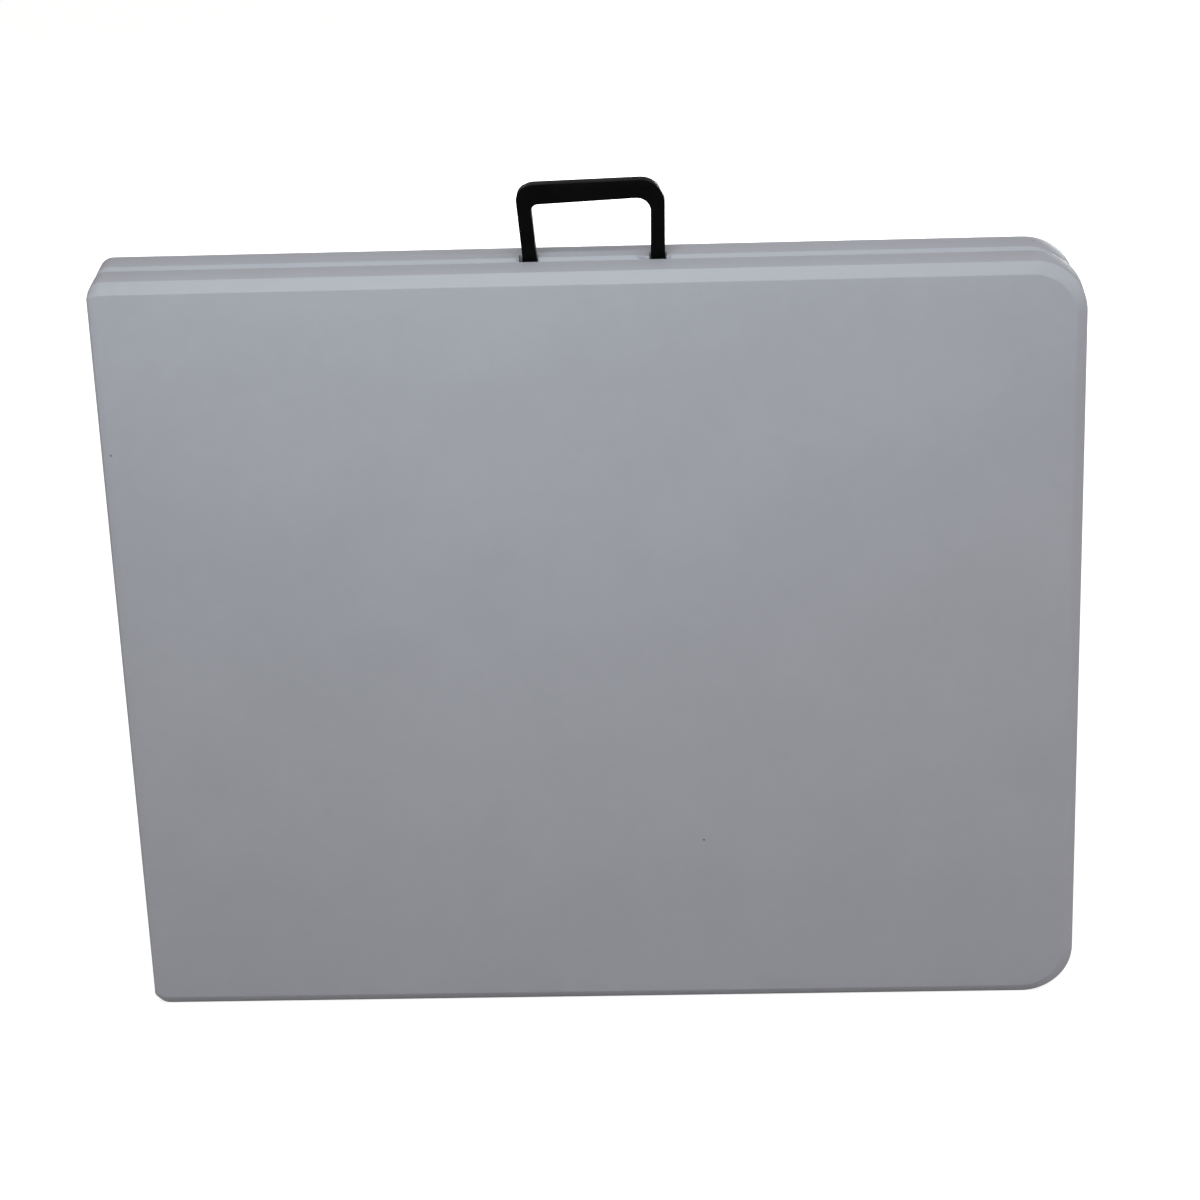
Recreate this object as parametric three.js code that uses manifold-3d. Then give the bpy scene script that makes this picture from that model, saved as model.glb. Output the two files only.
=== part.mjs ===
// A fold-in-half plastic table, folded shut and standing on one long edge, with its carry handle pulled out.
// Millimetres, +Z up. X runs along the folded length, Y through the two halves, and the origin is at the
// middle of the base. Each half is drawn in its own frame: u runs from the fold axis to the outer end, v from
// the parting plane into the half, and z up. The front half is the same design turned over to -Y.
import * as THREE from "three";
import { mergeVertices } from "three/addons/utils/BufferGeometryUtils.js";
import Module from "manifold-3d";

// Driving dimensions of the two moulded top panels.
const HALF_LENGTH = 915; // fold axis to outer end
const TABLE_WIDTH = 760; // long edge to long edge, the folded table's height
const HALF_THICKNESS = 45;
const RIM = 22; // width of the wall round each half
const BEVEL_DEPTH = 8; // the sloped border of the table top, through the thickness
const BEVEL_HEIGHT = 10.3; // the same border, across the face
const PARTING_CHAMFER = 6.4; // on the rim's edge where the halves meet
const OUTER_CORNER = 49.5;
const BACK_SHORTFALL = 5; // the back half's outer end, behind the front's
const FOLD_CORNER = 14;
const FOLD_EDGE = 2; // small edge break along the fold, where the two tops meet when open
const FOLD_GAP = 0.5; // end wall to fold axis
const PARTING_GAP = 0.2; // rim face to parting plane
const RECESS_DRAFT = 1;
const LEAST_OUTER_R = 3; // smallest corner an inset outline may have, at the outer end
const LEAST_FOLD_R = 2; // and at the fold
const OUTER_STEPS = 12; // facets round an outer corner
const FOLD_STEPS = 5;

// Steel legs, rails and braces.
const LEG_TUBE = 22;
const TUBE_WALL = 1.2;
const CAP_WALL = 1.2;
const CAP_LENGTH = 30;
const CAP_SOLE = 4;
const STOW_CLEARANCE = 1; // foot cap to recess floor and to parting plane
const PIVOT_INSET = 130; // leg pivot to outer end
const FOOT_GAP = 80; // foot to fold axis
const CROSS_TUBE = 18;
const CROSS_BAR_UP = 75; // cross bar above the foot
const RAIL = 20;
const RAIL_WALL = 1.5;
const RAIL_FROM_FOLD = 75;
const RAIL_FROM_END = 60;
const SADDLE_WIDTH = 16;
const SADDLE_FOOT = 26; // half length of its base
const SADDLE_WALL = 1.3;
const SADDLE_FOOT_THICK = 4;
const SADDLE_TO_LEG = 3;
const CLIP_LENGTH = 20;
const CLIP_WALL = 1.7;
const CLIP_MOUTH = 0.55; // share of the bore's radius that the jaws reach past the leg's middle
const CLIP_AT = 300; // from the fold axis
const BRACKET_TO_CROSS_BAR = 130; // stowed leg's cross bar to brace bracket, along the panel
const BRACE_ON_LEG = 250; // leg pivot to brace rivet, along the leg
const LINK_TUBE = 16;
const LINK_END = 10; // tube beyond each pin
const ARM_THICK = 4;
const ARM_HEIGHT = 14;
const ARM_STRAIGHT = 30; // parallel stretch at the knee
const ARM_EYE = 9; // arm beyond its rivet
const PIN = 8;
const PIN_HEAD = 12;
const PIN_HEAD_THICK = 2.5;
const BRACE_PLAY = 0.5; // between the brace's link, arms and ears
const EAR_THICK = 2.5;
const EAR_LENGTH = 20;
const BRACKET_LENGTH = 44;
const RING_LENGTH = 24;
const RING_WALL = 2.2;
const RING_PLAY = 0.8;
const RING_CORNER = 5;
const RING_AT = 150; // from the brace bracket

// Carry handle, its guide, the fold hinges and the catch.
const HANDLE_WIDTH = 131.5;
const HANDLE_RISE = 73; // above the rim, pulled out
const HANDLE_BAR = 17;
const HANDLE_LEG = 13;
const HANDLE_DEPTH = 12;
const HANDLE_OUTER_R = 20;
const HANDLE_INNER_R = 10;
const HANDLE_FLANGE = 6;
const HANDLE_FLANGE_OUT = 5;
const HANDLE_STOP_GAP = 0.5;
const HANDLE_PAD = 10; // flat land beside each handle leg, where the chamfer stops
const HANDLE_OFF_CENTRE = 7.4; // towards the outer end
const HANDLE_REST_GAP = 1; // grip above the rim, pushed in
const SLIDE_PLAY = 0.6; // handle to its guide, front and back
const SLOT_PLAY = 1.5; // handle leg to its slot, on each side
const GUIDE_PLATE = 1.6;
const GUIDE_HEIGHT = 36;
const GUIDE_FOOT = 12;
const GUIDE_TO_FLANGE = 8;
const RAIL_CLEARANCE = 2.5; // handle pushed in, to the side rail
const HINGE_LENGTH = 80;
const HINGE_INSET = 70; // from the long edge
const HINGE_LEAF = 2;
const HINGE_REACH = 62;
const KNUCKLE_R = 4.5;
const KNUCKLE_LENGTH = 20;
const KNUCKLE_GAP = 0.5;
const KNUCKLE_CLEARANCE = 0.6; // knuckle to its notch in the panels
const HINGE_PIN_R = 2.4;
const HINGE_BOSS = 4; // moulded pad beyond the leaf
const CATCH_WIDTH = 30;
const CATCH_DEPTH = 14.7;
const TONGUE_THICK = 3;
const TONGUE_REACH = 12;
const TONGUE_PLAY = 1.5;
const JAW_THICK = 3.5;
const JAW_STAND = 13;
const CATCH_SET_BACK = 2; // tongue's base below the seam
const JAW_SET_BACK = 0.8; // jaws below the seam
const TONGUE_SHOULDER = 5; // base beyond the tongue, at each end

// Fits and facets.
const GAP = 0.3; // between faces that touch on the real table
const HOLE_PLAY = 0.4; // round hole over its pin, on the radius
const ROUND = 24; // sides of a round section
const SMALL_ROUND = 16; // sides of a pin, its hole or a knuckle
const SMALL_RADIUS = 7;
const PAST = 5; // how far a cutting shape runs past what it cuts
const OVERLAP = 0.5; // how far joined shapes run into each other

// Worked out from those.
const FOLD_X = -(HALF_LENGTH - KNUCKLE_R) / 2;
const RECESS = LEG_TUBE + 2 * (GAP + CAP_WALL + STOW_CLEARANCE);
const STOW = RECESS / 2; // depth of the tube centres
const FLOOR = RECESS - GAP; // where pieces are seated on the recess floor
const MIDDLE = TABLE_WIDTH / 2;
const HANDLE_TRAVEL = HANDLE_RISE - HANDLE_BAR - HANDLE_INNER_R - HANDLE_REST_GAP;
const RAIL_INSET = RIM + HANDLE_STOP_GAP + HANDLE_FLANGE + HANDLE_TRAVEL + RAIL_CLEARANCE + RAIL / 2;
const SADDLE_INSET = RAIL_INSET + RAIL / 2 + GAP;
const LEG_INSET = SADDLE_INSET + SADDLE_WIDTH + SADDLE_TO_LEG + LEG_TUBE / 2;
const PIVOT_AT = HALF_LENGTH - PIVOT_INSET;
const BRACKET_AT = FOOT_GAP + CROSS_BAR_UP + BRACKET_TO_CROSS_BAR;
const BRACE_REACH = PIVOT_AT - BRACKET_AT; // leg pivot to brace bracket
const RIVET_AT = PIVOT_AT - BRACE_ON_LEG;
// The two links lie back on each other when stowed and in line when the leg stands square.
const BRACE_STRAIGHT = Math.hypot(BRACE_REACH, BRACE_ON_LEG);
const BRACE_STOWED = BRACE_REACH - BRACE_ON_LEG;
const LINK_LENGTH = (BRACE_STRAIGHT + BRACE_STOWED) / 2;
const KNEE_AT = BRACKET_AT + LINK_LENGTH;
const ARM_OFFSET = LINK_TUBE / 2 + BRACE_PLAY + ARM_THICK / 2;
const HANDLE_AT = HALF_LENGTH / 2 + HANDLE_OFF_CENTRE;
const HANDLE_FRONT = GAP + GUIDE_PLATE + SLIDE_PLAY;
const HANDLE_BACK = HANDLE_FRONT + HANDLE_DEPTH;
const RIM_INSIDE = TABLE_WIDTH - RIM - RECESS_DRAFT;
const FLANGE_TOP = RIM_INSIDE - HANDLE_STOP_GAP;

const wasm = await Module();
wasm.setup();

// Booleans on closed geometries.
function solidOf(geometry) {
  const bare = geometry.clone();
  bare.deleteAttribute("normal");
  bare.deleteAttribute("uv");
  const merged = mergeVertices(bare, 1e-4);
  return new wasm.Manifold(
    new wasm.Mesh({
      numProp: 3,
      vertProperties: new Float32Array(merged.attributes.position.array),
      triVerts: new Uint32Array(merged.index.array),
    }),
  );
}

function geometryOf(solid) {
  const mesh = solid.getMesh();
  const geometry = new THREE.BufferGeometry();
  geometry.setAttribute("position", new THREE.BufferAttribute(mesh.vertProperties, 3));
  geometry.setIndex(new THREE.BufferAttribute(mesh.triVerts, 1));
  geometry.computeVertexNormals();
  return geometry;
}

function join(first, ...others) {
  return geometryOf(others.reduce((whole, other) => whole.add(solidOf(other)), solidOf(first)));
}

function cut(whole, ...tools) {
  return geometryOf(tools.reduce((left, tool) => left.subtract(solidOf(tool)), solidOf(whole)));
}

// Plain shapes in a half's frame.
function block([u0, u1], [v0, v1], [z0, z1]) {
  const box = new THREE.BoxGeometry(u1 - u0, v1 - v0, z1 - z0);
  return box.translate((u0 + u1) / 2, (v0 + v1) / 2, (z0 + z1) / 2);
}

function circlePath(radius) {
  return new THREE.Path().absarc(0, 0, radius, 0, 2 * Math.PI, false);
}

function extrude(shape, length, sides = ROUND) {
  return new THREE.ExtrudeGeometry(shape, { depth: length, bevelEnabled: false, curveSegments: sides / 2 });
}

function ringShape(radius, bore) {
  const shape = new THREE.Shape().absarc(0, 0, radius, 0, 2 * Math.PI, false);
  if (bore > 0) shape.holes.push(circlePath(bore));
  return shape;
}

// A round bar or tube up z, or along u, between two places.
function upright(u, v, [z0, z1], radius, bore = 0) {
  const sides = radius > SMALL_RADIUS ? ROUND : SMALL_ROUND;
  return extrude(ringShape(radius, bore), z1 - z0, sides).translate(u, v, z0);
}

function lengthwise(v, z, [u0, u1], radius, bore = 0) {
  return extrude(ringShape(radius, bore), u1 - u0).rotateY(Math.PI / 2).translate(u0, v, z);
}

// Turns a shape drawn in (u, z) and extruded in its third direction so that it runs into v.
function intoHalf(geometry, v0) {
  return geometry.rotateX(Math.PI / 2).translate(0, v0, 0);
}

// The outline of a half at one depth: inset on the long edges and outer end, less on the fold side.
function outline(inset, foldInset, end = HALF_LENGTH) {
  const low = inset;
  const high = TABLE_WIDTH - inset;
  const near = FOLD_GAP + foldInset;
  const far = end - inset;
  const outer = Math.max(OUTER_CORNER - inset, LEAST_OUTER_R);
  const foldU = Math.max(FOLD_CORNER - foldInset, LEAST_FOLD_R);
  const foldZ = Math.max(FOLD_CORNER - inset, LEAST_FOLD_R);
  const corners = [
    [near + foldU, low + foldZ, foldU, foldZ, Math.PI, FOLD_STEPS],
    [far - outer, low + outer, outer, outer, 1.5 * Math.PI, OUTER_STEPS],
    [far - outer, high - outer, outer, outer, 0, OUTER_STEPS],
    [near + foldU, high - foldZ, foldU, foldZ, 0.5 * Math.PI, FOLD_STEPS],
  ];
  return corners.flatMap(([u, z, ru, rz, start, steps]) =>
    Array.from({ length: steps + 1 }, (_, i) => {
      const angle = start + (i / steps) * (Math.PI / 2);
      return [u + ru * Math.cos(angle), z + rz * Math.sin(angle)];
    }),
  );
}

// A closed solid through outlines at rising depths.
function loft(levels) {
  const count = levels[0].points.length;
  const positions = levels.flatMap(({ v, points }) => points.flatMap(([u, z]) => [u, v, z]));
  const faces = [];
  for (let level = 0; level + 1 < levels.length; level += 1) {
    for (let i = 0; i < count; i += 1) {
      const a = level * count + i;
      const b = level * count + ((i + 1) % count);
      faces.push(a, a + count, b + count, a, b + count, b);
    }
  }
  const last = (levels.length - 1) * count;
  for (let i = 1; i + 1 < count; i += 1) {
    faces.push(0, i, i + 1, last, last + i + 1, last + i);
  }
  const geometry = new THREE.BufferGeometry();
  geometry.setAttribute("position", new THREE.Float32BufferAttribute(positions, 3));
  geometry.setIndex(faces);
  return geometry;
}

const hingeSpans = [
  ["lower", HINGE_INSET],
  ["upper", TABLE_WIDTH - HINGE_INSET - HINGE_LENGTH],
];

// Moulded panels.
function panelBlank(end = HALF_LENGTH) {
  const body = loft([
    { v: PARTING_GAP, points: outline(PARTING_CHAMFER, 0, end) },
    { v: PARTING_CHAMFER, points: outline(0, 0, end) },
    { v: HALF_THICKNESS - BEVEL_DEPTH, points: outline(0, 0, end) },
    { v: HALF_THICKNESS - FOLD_EDGE, points: outline(BEVEL_HEIGHT * (1 - FOLD_EDGE / BEVEL_DEPTH), 0, end) },
    { v: HALF_THICKNESS, points: outline(BEVEL_HEIGHT, FOLD_EDGE, end) },
  ]);
  const recess = loft([
    { v: -PAST, points: outline(RIM, RIM) },
    { v: RECESS, points: outline(RIM + RECESS_DRAFT, RIM + RECESS_DRAFT) },
  ]);
  const bosses = hingeSpans.map(([, z]) =>
    block(
      [0, HINGE_REACH + HINGE_BOSS],
      [-2 * PAST, 2 * RECESS],
      [z - HINGE_BOSS, z + HINGE_LENGTH + HINGE_BOSS],
    ),
  );
  const pockets = hingeSpans.flatMap(([, z]) => {
    const span = [z - KNUCKLE_GAP, z + HINGE_LENGTH + KNUCKLE_GAP];
    return [
      block([-PAST, HINGE_REACH + KNUCKLE_GAP], [-PAST, GAP + HINGE_LEAF + GAP], span),
      upright(0, 0, span, KNUCKLE_R + KNUCKLE_CLEARANCE),
    ];
  });
  return cut(cut(body, cut(recess, ...bosses)), ...pockets);
}

function handleLegs() {
  const middle = HANDLE_WIDTH / 2 - HANDLE_LEG / 2;
  return [HANDLE_AT - middle, HANDLE_AT + middle];
}

function backPanel() {
  const half = HANDLE_LEG / 2;
  const pads = handleLegs().map((u) =>
    block(
      [u - half - HANDLE_PAD, u + half + HANDLE_PAD],
      [PARTING_GAP, PARTING_CHAMFER + OVERLAP],
      [TABLE_WIDTH - RIM / 2, TABLE_WIDTH],
    ),
  );
  const slots = handleLegs().map((u) =>
    block(
      [u - half - SLOT_PLAY, u + half + SLOT_PLAY],
      [-PAST, HANDLE_BACK + SLIDE_PLAY],
      [TABLE_WIDTH - RIM - PAST, TABLE_WIDTH + PAST],
    ),
  );
  return cut(join(panelBlank(HALF_LENGTH - BACK_SHORTFALL), ...pads), ...slots);
}

// Steel work.
function sideRail(z) {
  const half = RAIL / 2;
  const inner = half - RAIL_WALL;
  const span = [RAIL_FROM_FOLD, HALF_LENGTH - RAIL_FROM_END];
  const v = FLOOR - half;
  return cut(
    block(span, [v - half, v + half], [z - half, z + half]),
    block([span[0] - PAST, span[1] + PAST], [v - inner, v + inner], [z - inner, z + inner]),
  );
}

function legPivotTube() {
  const radius = LEG_TUBE / 2;
  return upright(PIVOT_AT, STOW, [SADDLE_INSET, TABLE_WIDTH - SADDLE_INSET], radius, radius - TUBE_WALL);
}

function legTube(z) {
  const radius = LEG_TUBE / 2;
  const span = [FOOT_GAP + CAP_SOLE + GAP, PIVOT_AT - radius - GAP];
  return lengthwise(STOW, z, span, radius, radius - TUBE_WALL);
}

function legCrossBar() {
  const from = LEG_INSET + LEG_TUBE / 2 + GAP;
  const radius = CROSS_TUBE / 2;
  return upright(FOOT_GAP + CROSS_BAR_UP, STOW, [from, TABLE_WIDTH - from], radius, radius - TUBE_WALL);
}

function footCap(z) {
  const bore = LEG_TUBE / 2 + GAP;
  const radius = bore + CAP_WALL;
  const end = FOOT_GAP + CAP_LENGTH;
  return cut(
    lengthwise(STOW, z, [FOOT_GAP, end], radius),
    lengthwise(STOW, z, [FOOT_GAP + CAP_SOLE, end + PAST], bore),
  );
}

// An arch over a tube that stands on the recess floor, drawn in (u, v) for a tube up z.
function archShape(radius, foot, footThick, bore) {
  const floor = FLOOR - STOW;
  const shape = new THREE.Shape();
  shape.moveTo(foot, floor);
  shape.lineTo(-foot, floor);
  shape.lineTo(-foot, floor - footThick);
  shape.lineTo(-radius, floor - footThick);
  shape.lineTo(-radius, 0);
  shape.absarc(0, 0, radius, Math.PI, 2 * Math.PI, false);
  shape.lineTo(radius, floor - footThick);
  shape.lineTo(foot, floor - footThick);
  shape.holes.push(circlePath(bore));
  return shape;
}

function legSaddle(z0) {
  const bore = LEG_TUBE / 2 + HOLE_PLAY;
  const shape = archShape(bore + SADDLE_WALL - GAP, SADDLE_FOOT, SADDLE_FOOT_THICK, bore);
  return extrude(shape, SADDLE_WIDTH).translate(PIVOT_AT, STOW, z0);
}

function legClip(z) {
  const bore = LEG_TUBE / 2 + HOLE_PLAY;
  const radius = bore + CLIP_WALL - GAP;
  const floor = FLOOR - STOW;
  const ring = lengthwise(STOW, z, [CLIP_AT, CLIP_AT + CLIP_LENGTH], radius, bore);
  const foot = block(
    [CLIP_AT, CLIP_AT + CLIP_LENGTH],
    [STOW + bore + OVERLAP, STOW + floor],
    [z - radius, z + radius],
  );
  const mouth = block(
    [CLIP_AT - PAST, CLIP_AT + CLIP_LENGTH + PAST],
    [-PAST, STOW - bore * CLIP_MOUTH],
    [z - radius - PAST, z + radius + PAST],
  );
  return cut(join(ring, foot), mouth);
}

function pinHole(u, radius) {
  return upright(u, STOW, [0, TABLE_WIDTH], radius);
}

function braceLink() {
  const radius = LINK_TUBE / 2;
  const span = [BRACKET_AT - LINK_END, KNEE_AT + LINK_END];
  const tube = lengthwise(STOW, MIDDLE, span, radius, radius - TUBE_WALL);
  const bore = PIN / 2 + HOLE_PLAY;
  return cut(tube, pinHole(BRACKET_AT, bore), pinHole(KNEE_AT, bore));
}

// A bent flat bar from the knee to a leg, on the side given by +1 or -1.
function braceArm(side) {
  const legFace = MIDDLE - LEG_INSET - LEG_TUBE / 2;
  const farOffset = legFace - GAP - ARM_THICK / 2;
  const line = [
    [KNEE_AT + ARM_EYE, ARM_OFFSET],
    [KNEE_AT - ARM_STRAIGHT, ARM_OFFSET],
    [RIVET_AT + ARM_EYE, farOffset],
    [RIVET_AT - ARM_EYE, farOffset],
  ].map(([u, offset]) => new THREE.Vector2(u, offset));
  const half = ARM_THICK / 2;
  const sideOf = (sign) =>
    line.map((point, i) => {
      const before = point.clone().sub(line[Math.max(i - 1, 0)]).normalize();
      const after = line[Math.min(i + 1, line.length - 1)].clone().sub(point).normalize();
      const along = before.clone().add(after).normalize();
      const stretch = i === 0 || i === line.length - 1 ? 1 : along.dot(after);
      return new THREE.Vector2(-along.y, along.x).multiplyScalar((sign * half) / stretch).add(point);
    });
  const points = [...sideOf(1), ...sideOf(-1).reverse()].map(({ x, y }) => new THREE.Vector2(x, side * y));
  const bar = intoHalf(extrude(new THREE.Shape(points), ARM_HEIGHT), STOW + ARM_HEIGHT / 2).translate(0, 0, MIDDLE);
  const bore = PIN / 2 + HOLE_PLAY;
  return cut(bar, pinHole(KNEE_AT, bore), pinHole(RIVET_AT, bore));
}

// A headed pin through the middle of the brace, reaching past what it holds on both sides.
function headedPin(u, reach) {
  const outer = reach + GAP + PIN_HEAD_THICK;
  const shank = upright(u, STOW, [MIDDLE - outer, MIDDLE + outer], PIN / 2);
  const heads = [-outer, reach + GAP].map((from) =>
    upright(u, STOW, [MIDDLE + from, MIDDLE + from + PIN_HEAD_THICK], PIN_HEAD / 2),
  );
  return join(shank, ...heads);
}

function braceBracket() {
  const inner = LINK_TUBE / 2 + BRACE_PLAY;
  const outer = inner + EAR_THICK;
  const radius = EAR_LENGTH / 2;
  const ears = [-outer, inner].map((from) => {
    const span = [MIDDLE + from, MIDDLE + from + EAR_THICK];
    return join(
      upright(BRACKET_AT, STOW, span, radius),
      block([BRACKET_AT - radius, BRACKET_AT + radius], [STOW, FLOOR - OVERLAP], span),
    );
  });
  const plate = block(
    [BRACKET_AT - BRACKET_LENGTH / 2, BRACKET_AT + BRACKET_LENGTH / 2],
    [FLOOR - EAR_THICK, FLOOR],
    [MIDDLE - outer - ARM_HEIGHT, MIDDLE + outer + ARM_HEIGHT],
  );
  return cut(join(plate, ...ears), pinHole(BRACKET_AT, PIN / 2 + HOLE_PLAY));
}

function lockRing() {
  const halfZ = ARM_OFFSET + ARM_THICK / 2 + RING_PLAY;
  const halfV = LINK_TUBE / 2 + RING_PLAY;
  const at = BRACKET_AT + RING_AT;
  const shape = roundedRectangle(halfZ + RING_WALL, halfV + RING_WALL, RING_CORNER);
  shape.holes.push(roundedRectangle(halfZ, halfV, RING_CORNER - RING_WALL));
  return extrude(shape, RING_LENGTH, SMALL_ROUND / 2)
    .rotateY(Math.PI / 2)
    .translate(at - RING_LENGTH / 2, STOW, MIDDLE);
}

function roundedRectangle(halfX, halfY, radius) {
  const shape = new THREE.Shape();
  shape.absarc(halfX - radius, halfY - radius, radius, 0, Math.PI / 2, false);
  shape.absarc(-halfX + radius, halfY - radius, radius, Math.PI / 2, Math.PI, false);
  shape.absarc(-halfX + radius, -halfY + radius, radius, Math.PI, 1.5 * Math.PI, false);
  shape.absarc(halfX - radius, -halfY + radius, radius, 1.5 * Math.PI, 2 * Math.PI, false);
  return shape;
}

// Carry handle, drawn pulled out, with flanges that stop under the rim.
function carryHandle() {
  const half = HANDLE_WIDTH / 2;
  const inner = half - HANDLE_LEG;
  const top = TABLE_WIDTH + HANDLE_RISE;
  const under = top - HANDLE_BAR;
  const bottom = FLANGE_TOP - HANDLE_FLANGE;
  const flange = half + HANDLE_FLANGE_OUT;
  const shape = new THREE.Shape();
  shape.moveTo(-inner, bottom);
  shape.lineTo(-inner, under - HANDLE_INNER_R);
  shape.absarc(-inner + HANDLE_INNER_R, under - HANDLE_INNER_R, HANDLE_INNER_R, Math.PI, Math.PI / 2, true);
  shape.absarc(inner - HANDLE_INNER_R, under - HANDLE_INNER_R, HANDLE_INNER_R, Math.PI / 2, 0, true);
  shape.lineTo(inner, bottom);
  shape.lineTo(flange, bottom);
  shape.lineTo(flange, FLANGE_TOP);
  shape.lineTo(half, FLANGE_TOP);
  shape.absarc(half - HANDLE_OUTER_R, top - HANDLE_OUTER_R, HANDLE_OUTER_R, 0, Math.PI / 2, false);
  shape.absarc(-half + HANDLE_OUTER_R, top - HANDLE_OUTER_R, HANDLE_OUTER_R, Math.PI / 2, Math.PI, false);
  shape.lineTo(-half, FLANGE_TOP);
  shape.lineTo(-flange, FLANGE_TOP);
  shape.lineTo(-flange, bottom);
  return intoHalf(extrude(shape, HANDLE_DEPTH), HANDLE_BACK).translate(HANDLE_AT, 0, 0);
}

function handleGuide() {
  const inner = HANDLE_WIDTH / 2 + HANDLE_FLANGE_OUT + GUIDE_TO_FLANGE;
  const outer = inner + GUIDE_FOOT;
  const span = [RIM_INSIDE - GAP - GUIDE_HEIGHT, RIM_INSIDE - GAP];
  const plate = block([HANDLE_AT - outer, HANDLE_AT + outer], [GAP, GAP + GUIDE_PLATE], span);
  const feet = [-outer, inner].map((from) =>
    block([HANDLE_AT + from, HANDLE_AT + from + GUIDE_FOOT], [GAP + GUIDE_PLATE - OVERLAP, FLOOR], span),
  );
  return join(plate, ...feet);
}

// Fold hinges: knuckles on the fold axis, leaves let into the two rims.
function hingeLeaf(z, knuckles) {
  const leaf = block(
    [KNUCKLE_R + 1, HINGE_REACH],
    [GAP, GAP + HINGE_LEAF],
    [z, z + HINGE_LENGTH],
  );
  const barrels = knuckles.flatMap(([from, to]) => [
    upright(0, 0, [z + from, z + to], KNUCKLE_R),
    block([0, KNUCKLE_R + 1 + OVERLAP], [GAP, GAP + HINGE_LEAF], [z + from, z + to]),
  ]);
  const bore = upright(0, 0, [z - PAST, z + HINGE_LENGTH + PAST], HINGE_PIN_R + HOLE_PLAY);
  return cut(join(leaf, ...barrels), bore);
}

const outerKnuckles = [
  [0, KNUCKLE_LENGTH],
  [HINGE_LENGTH - KNUCKLE_LENGTH, HINGE_LENGTH],
];
const middleKnuckle = [[KNUCKLE_LENGTH + KNUCKLE_GAP, HINGE_LENGTH - KNUCKLE_LENGTH - KNUCKLE_GAP]];

// Friction catch inside the outer ends: a tongue on the front half in a clip on the back half.
const catchWall = HALF_LENGTH - RIM - RECESS_DRAFT - GAP;
const catchSpan = [MIDDLE - CATCH_WIDTH / 2, MIDDLE + CATCH_WIDTH / 2];

function catchTongue() {
  const centre = catchWall - CATCH_DEPTH / 2;
  const tongue = block(
    [centre - TONGUE_THICK / 2, centre + TONGUE_THICK / 2],
    [-TONGUE_REACH, PARTING_GAP + CATCH_SET_BACK + OVERLAP],
    [catchSpan[0] + TONGUE_SHOULDER, catchSpan[1] - TONGUE_SHOULDER],
  );
  return join(block([catchWall - CATCH_DEPTH, catchWall], [PARTING_GAP + CATCH_SET_BACK, FLOOR], catchSpan), tongue);
}

function catchClip() {
  const centre = catchWall - CATCH_DEPTH / 2;
  const mouth = TONGUE_THICK / 2 + TONGUE_PLAY;
  const base = block(
    [centre - mouth - JAW_THICK, centre + mouth + JAW_THICK],
    [PARTING_GAP + JAW_SET_BACK, FLOOR],
    catchSpan,
  );
  const slot = block(
    [centre - mouth, centre + mouth],
    [-PAST, PARTING_GAP + JAW_SET_BACK + JAW_STAND],
    [catchSpan[0] - PAST, catchSpan[1] + PAST],
  );
  return cut(base, slot);
}

// Finishes.
const finish = (color, roughness, metalness) => new THREE.MeshStandardMaterial({ color, roughness, metalness });
const panelPlastic = finish(0xa6a8ab, 0.6, 0);
const powderCoat = finish(0x8d9095, 0.45, 0.3);
const zincSteel = finish(0xb4b6b8, 0.35, 0.9);
const blackPlastic = finish(0x0c0c0d, 0.5, 0);

// Assembly: the back half as drawn, and the front half turned over.
const table = new THREE.Group();
const backHalf = new THREE.Group();
const frontHalf = new THREE.Group();
backHalf.position.set(FOLD_X, 0, 0);
frontHalf.position.set(FOLD_X, 0, 0);
frontHalf.scale.set(1, -1, 1);
table.add(backHalf, frontHalf);

function place(half, name, geometry, material) {
  const mesh = new THREE.Mesh(geometry, material);
  mesh.name = name;
  half.add(mesh);
}

const sides = [
  ["lower", (inset) => inset, -1],
  ["upper", (inset) => TABLE_WIDTH - inset, 1],
];

function legAssembly(half, prefix) {
  place(half, `${prefix}_leg_pivot_tube`, legPivotTube(), powderCoat);
  place(half, `${prefix}_leg_cross_bar`, legCrossBar(), powderCoat);
  for (const [side, at, sign] of sides) {
    const saddleEnd = sign < 0 ? SADDLE_INSET : TABLE_WIDTH - SADDLE_INSET - SADDLE_WIDTH;
    place(half, `${prefix}_side_rail_${side}`, sideRail(at(RAIL_INSET)), powderCoat);
    place(half, `${prefix}_leg_${side}`, legTube(at(LEG_INSET)), powderCoat);
    place(half, `${prefix}_foot_cap_${side}`, footCap(at(LEG_INSET)), blackPlastic);
    place(half, `${prefix}_leg_saddle_${side}`, legSaddle(saddleEnd), blackPlastic);
    place(half, `${prefix}_leg_clip_${side}`, legClip(at(LEG_INSET)), blackPlastic);
    place(half, `${prefix}_brace_arm_${side}`, braceArm(sign), powderCoat);
  }
  place(half, `${prefix}_brace_bracket`, braceBracket(), zincSteel);
  place(half, `${prefix}_brace_bracket_pin`, headedPin(BRACKET_AT, LINK_TUBE / 2 + BRACE_PLAY + EAR_THICK), zincSteel);
  place(half, `${prefix}_brace_link`, braceLink(), powderCoat);
  place(half, `${prefix}_brace_knee_pin`, headedPin(KNEE_AT, ARM_OFFSET + ARM_THICK / 2), zincSteel);
  place(half, `${prefix}_brace_lock_ring`, lockRing(), zincSteel);
}

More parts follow.
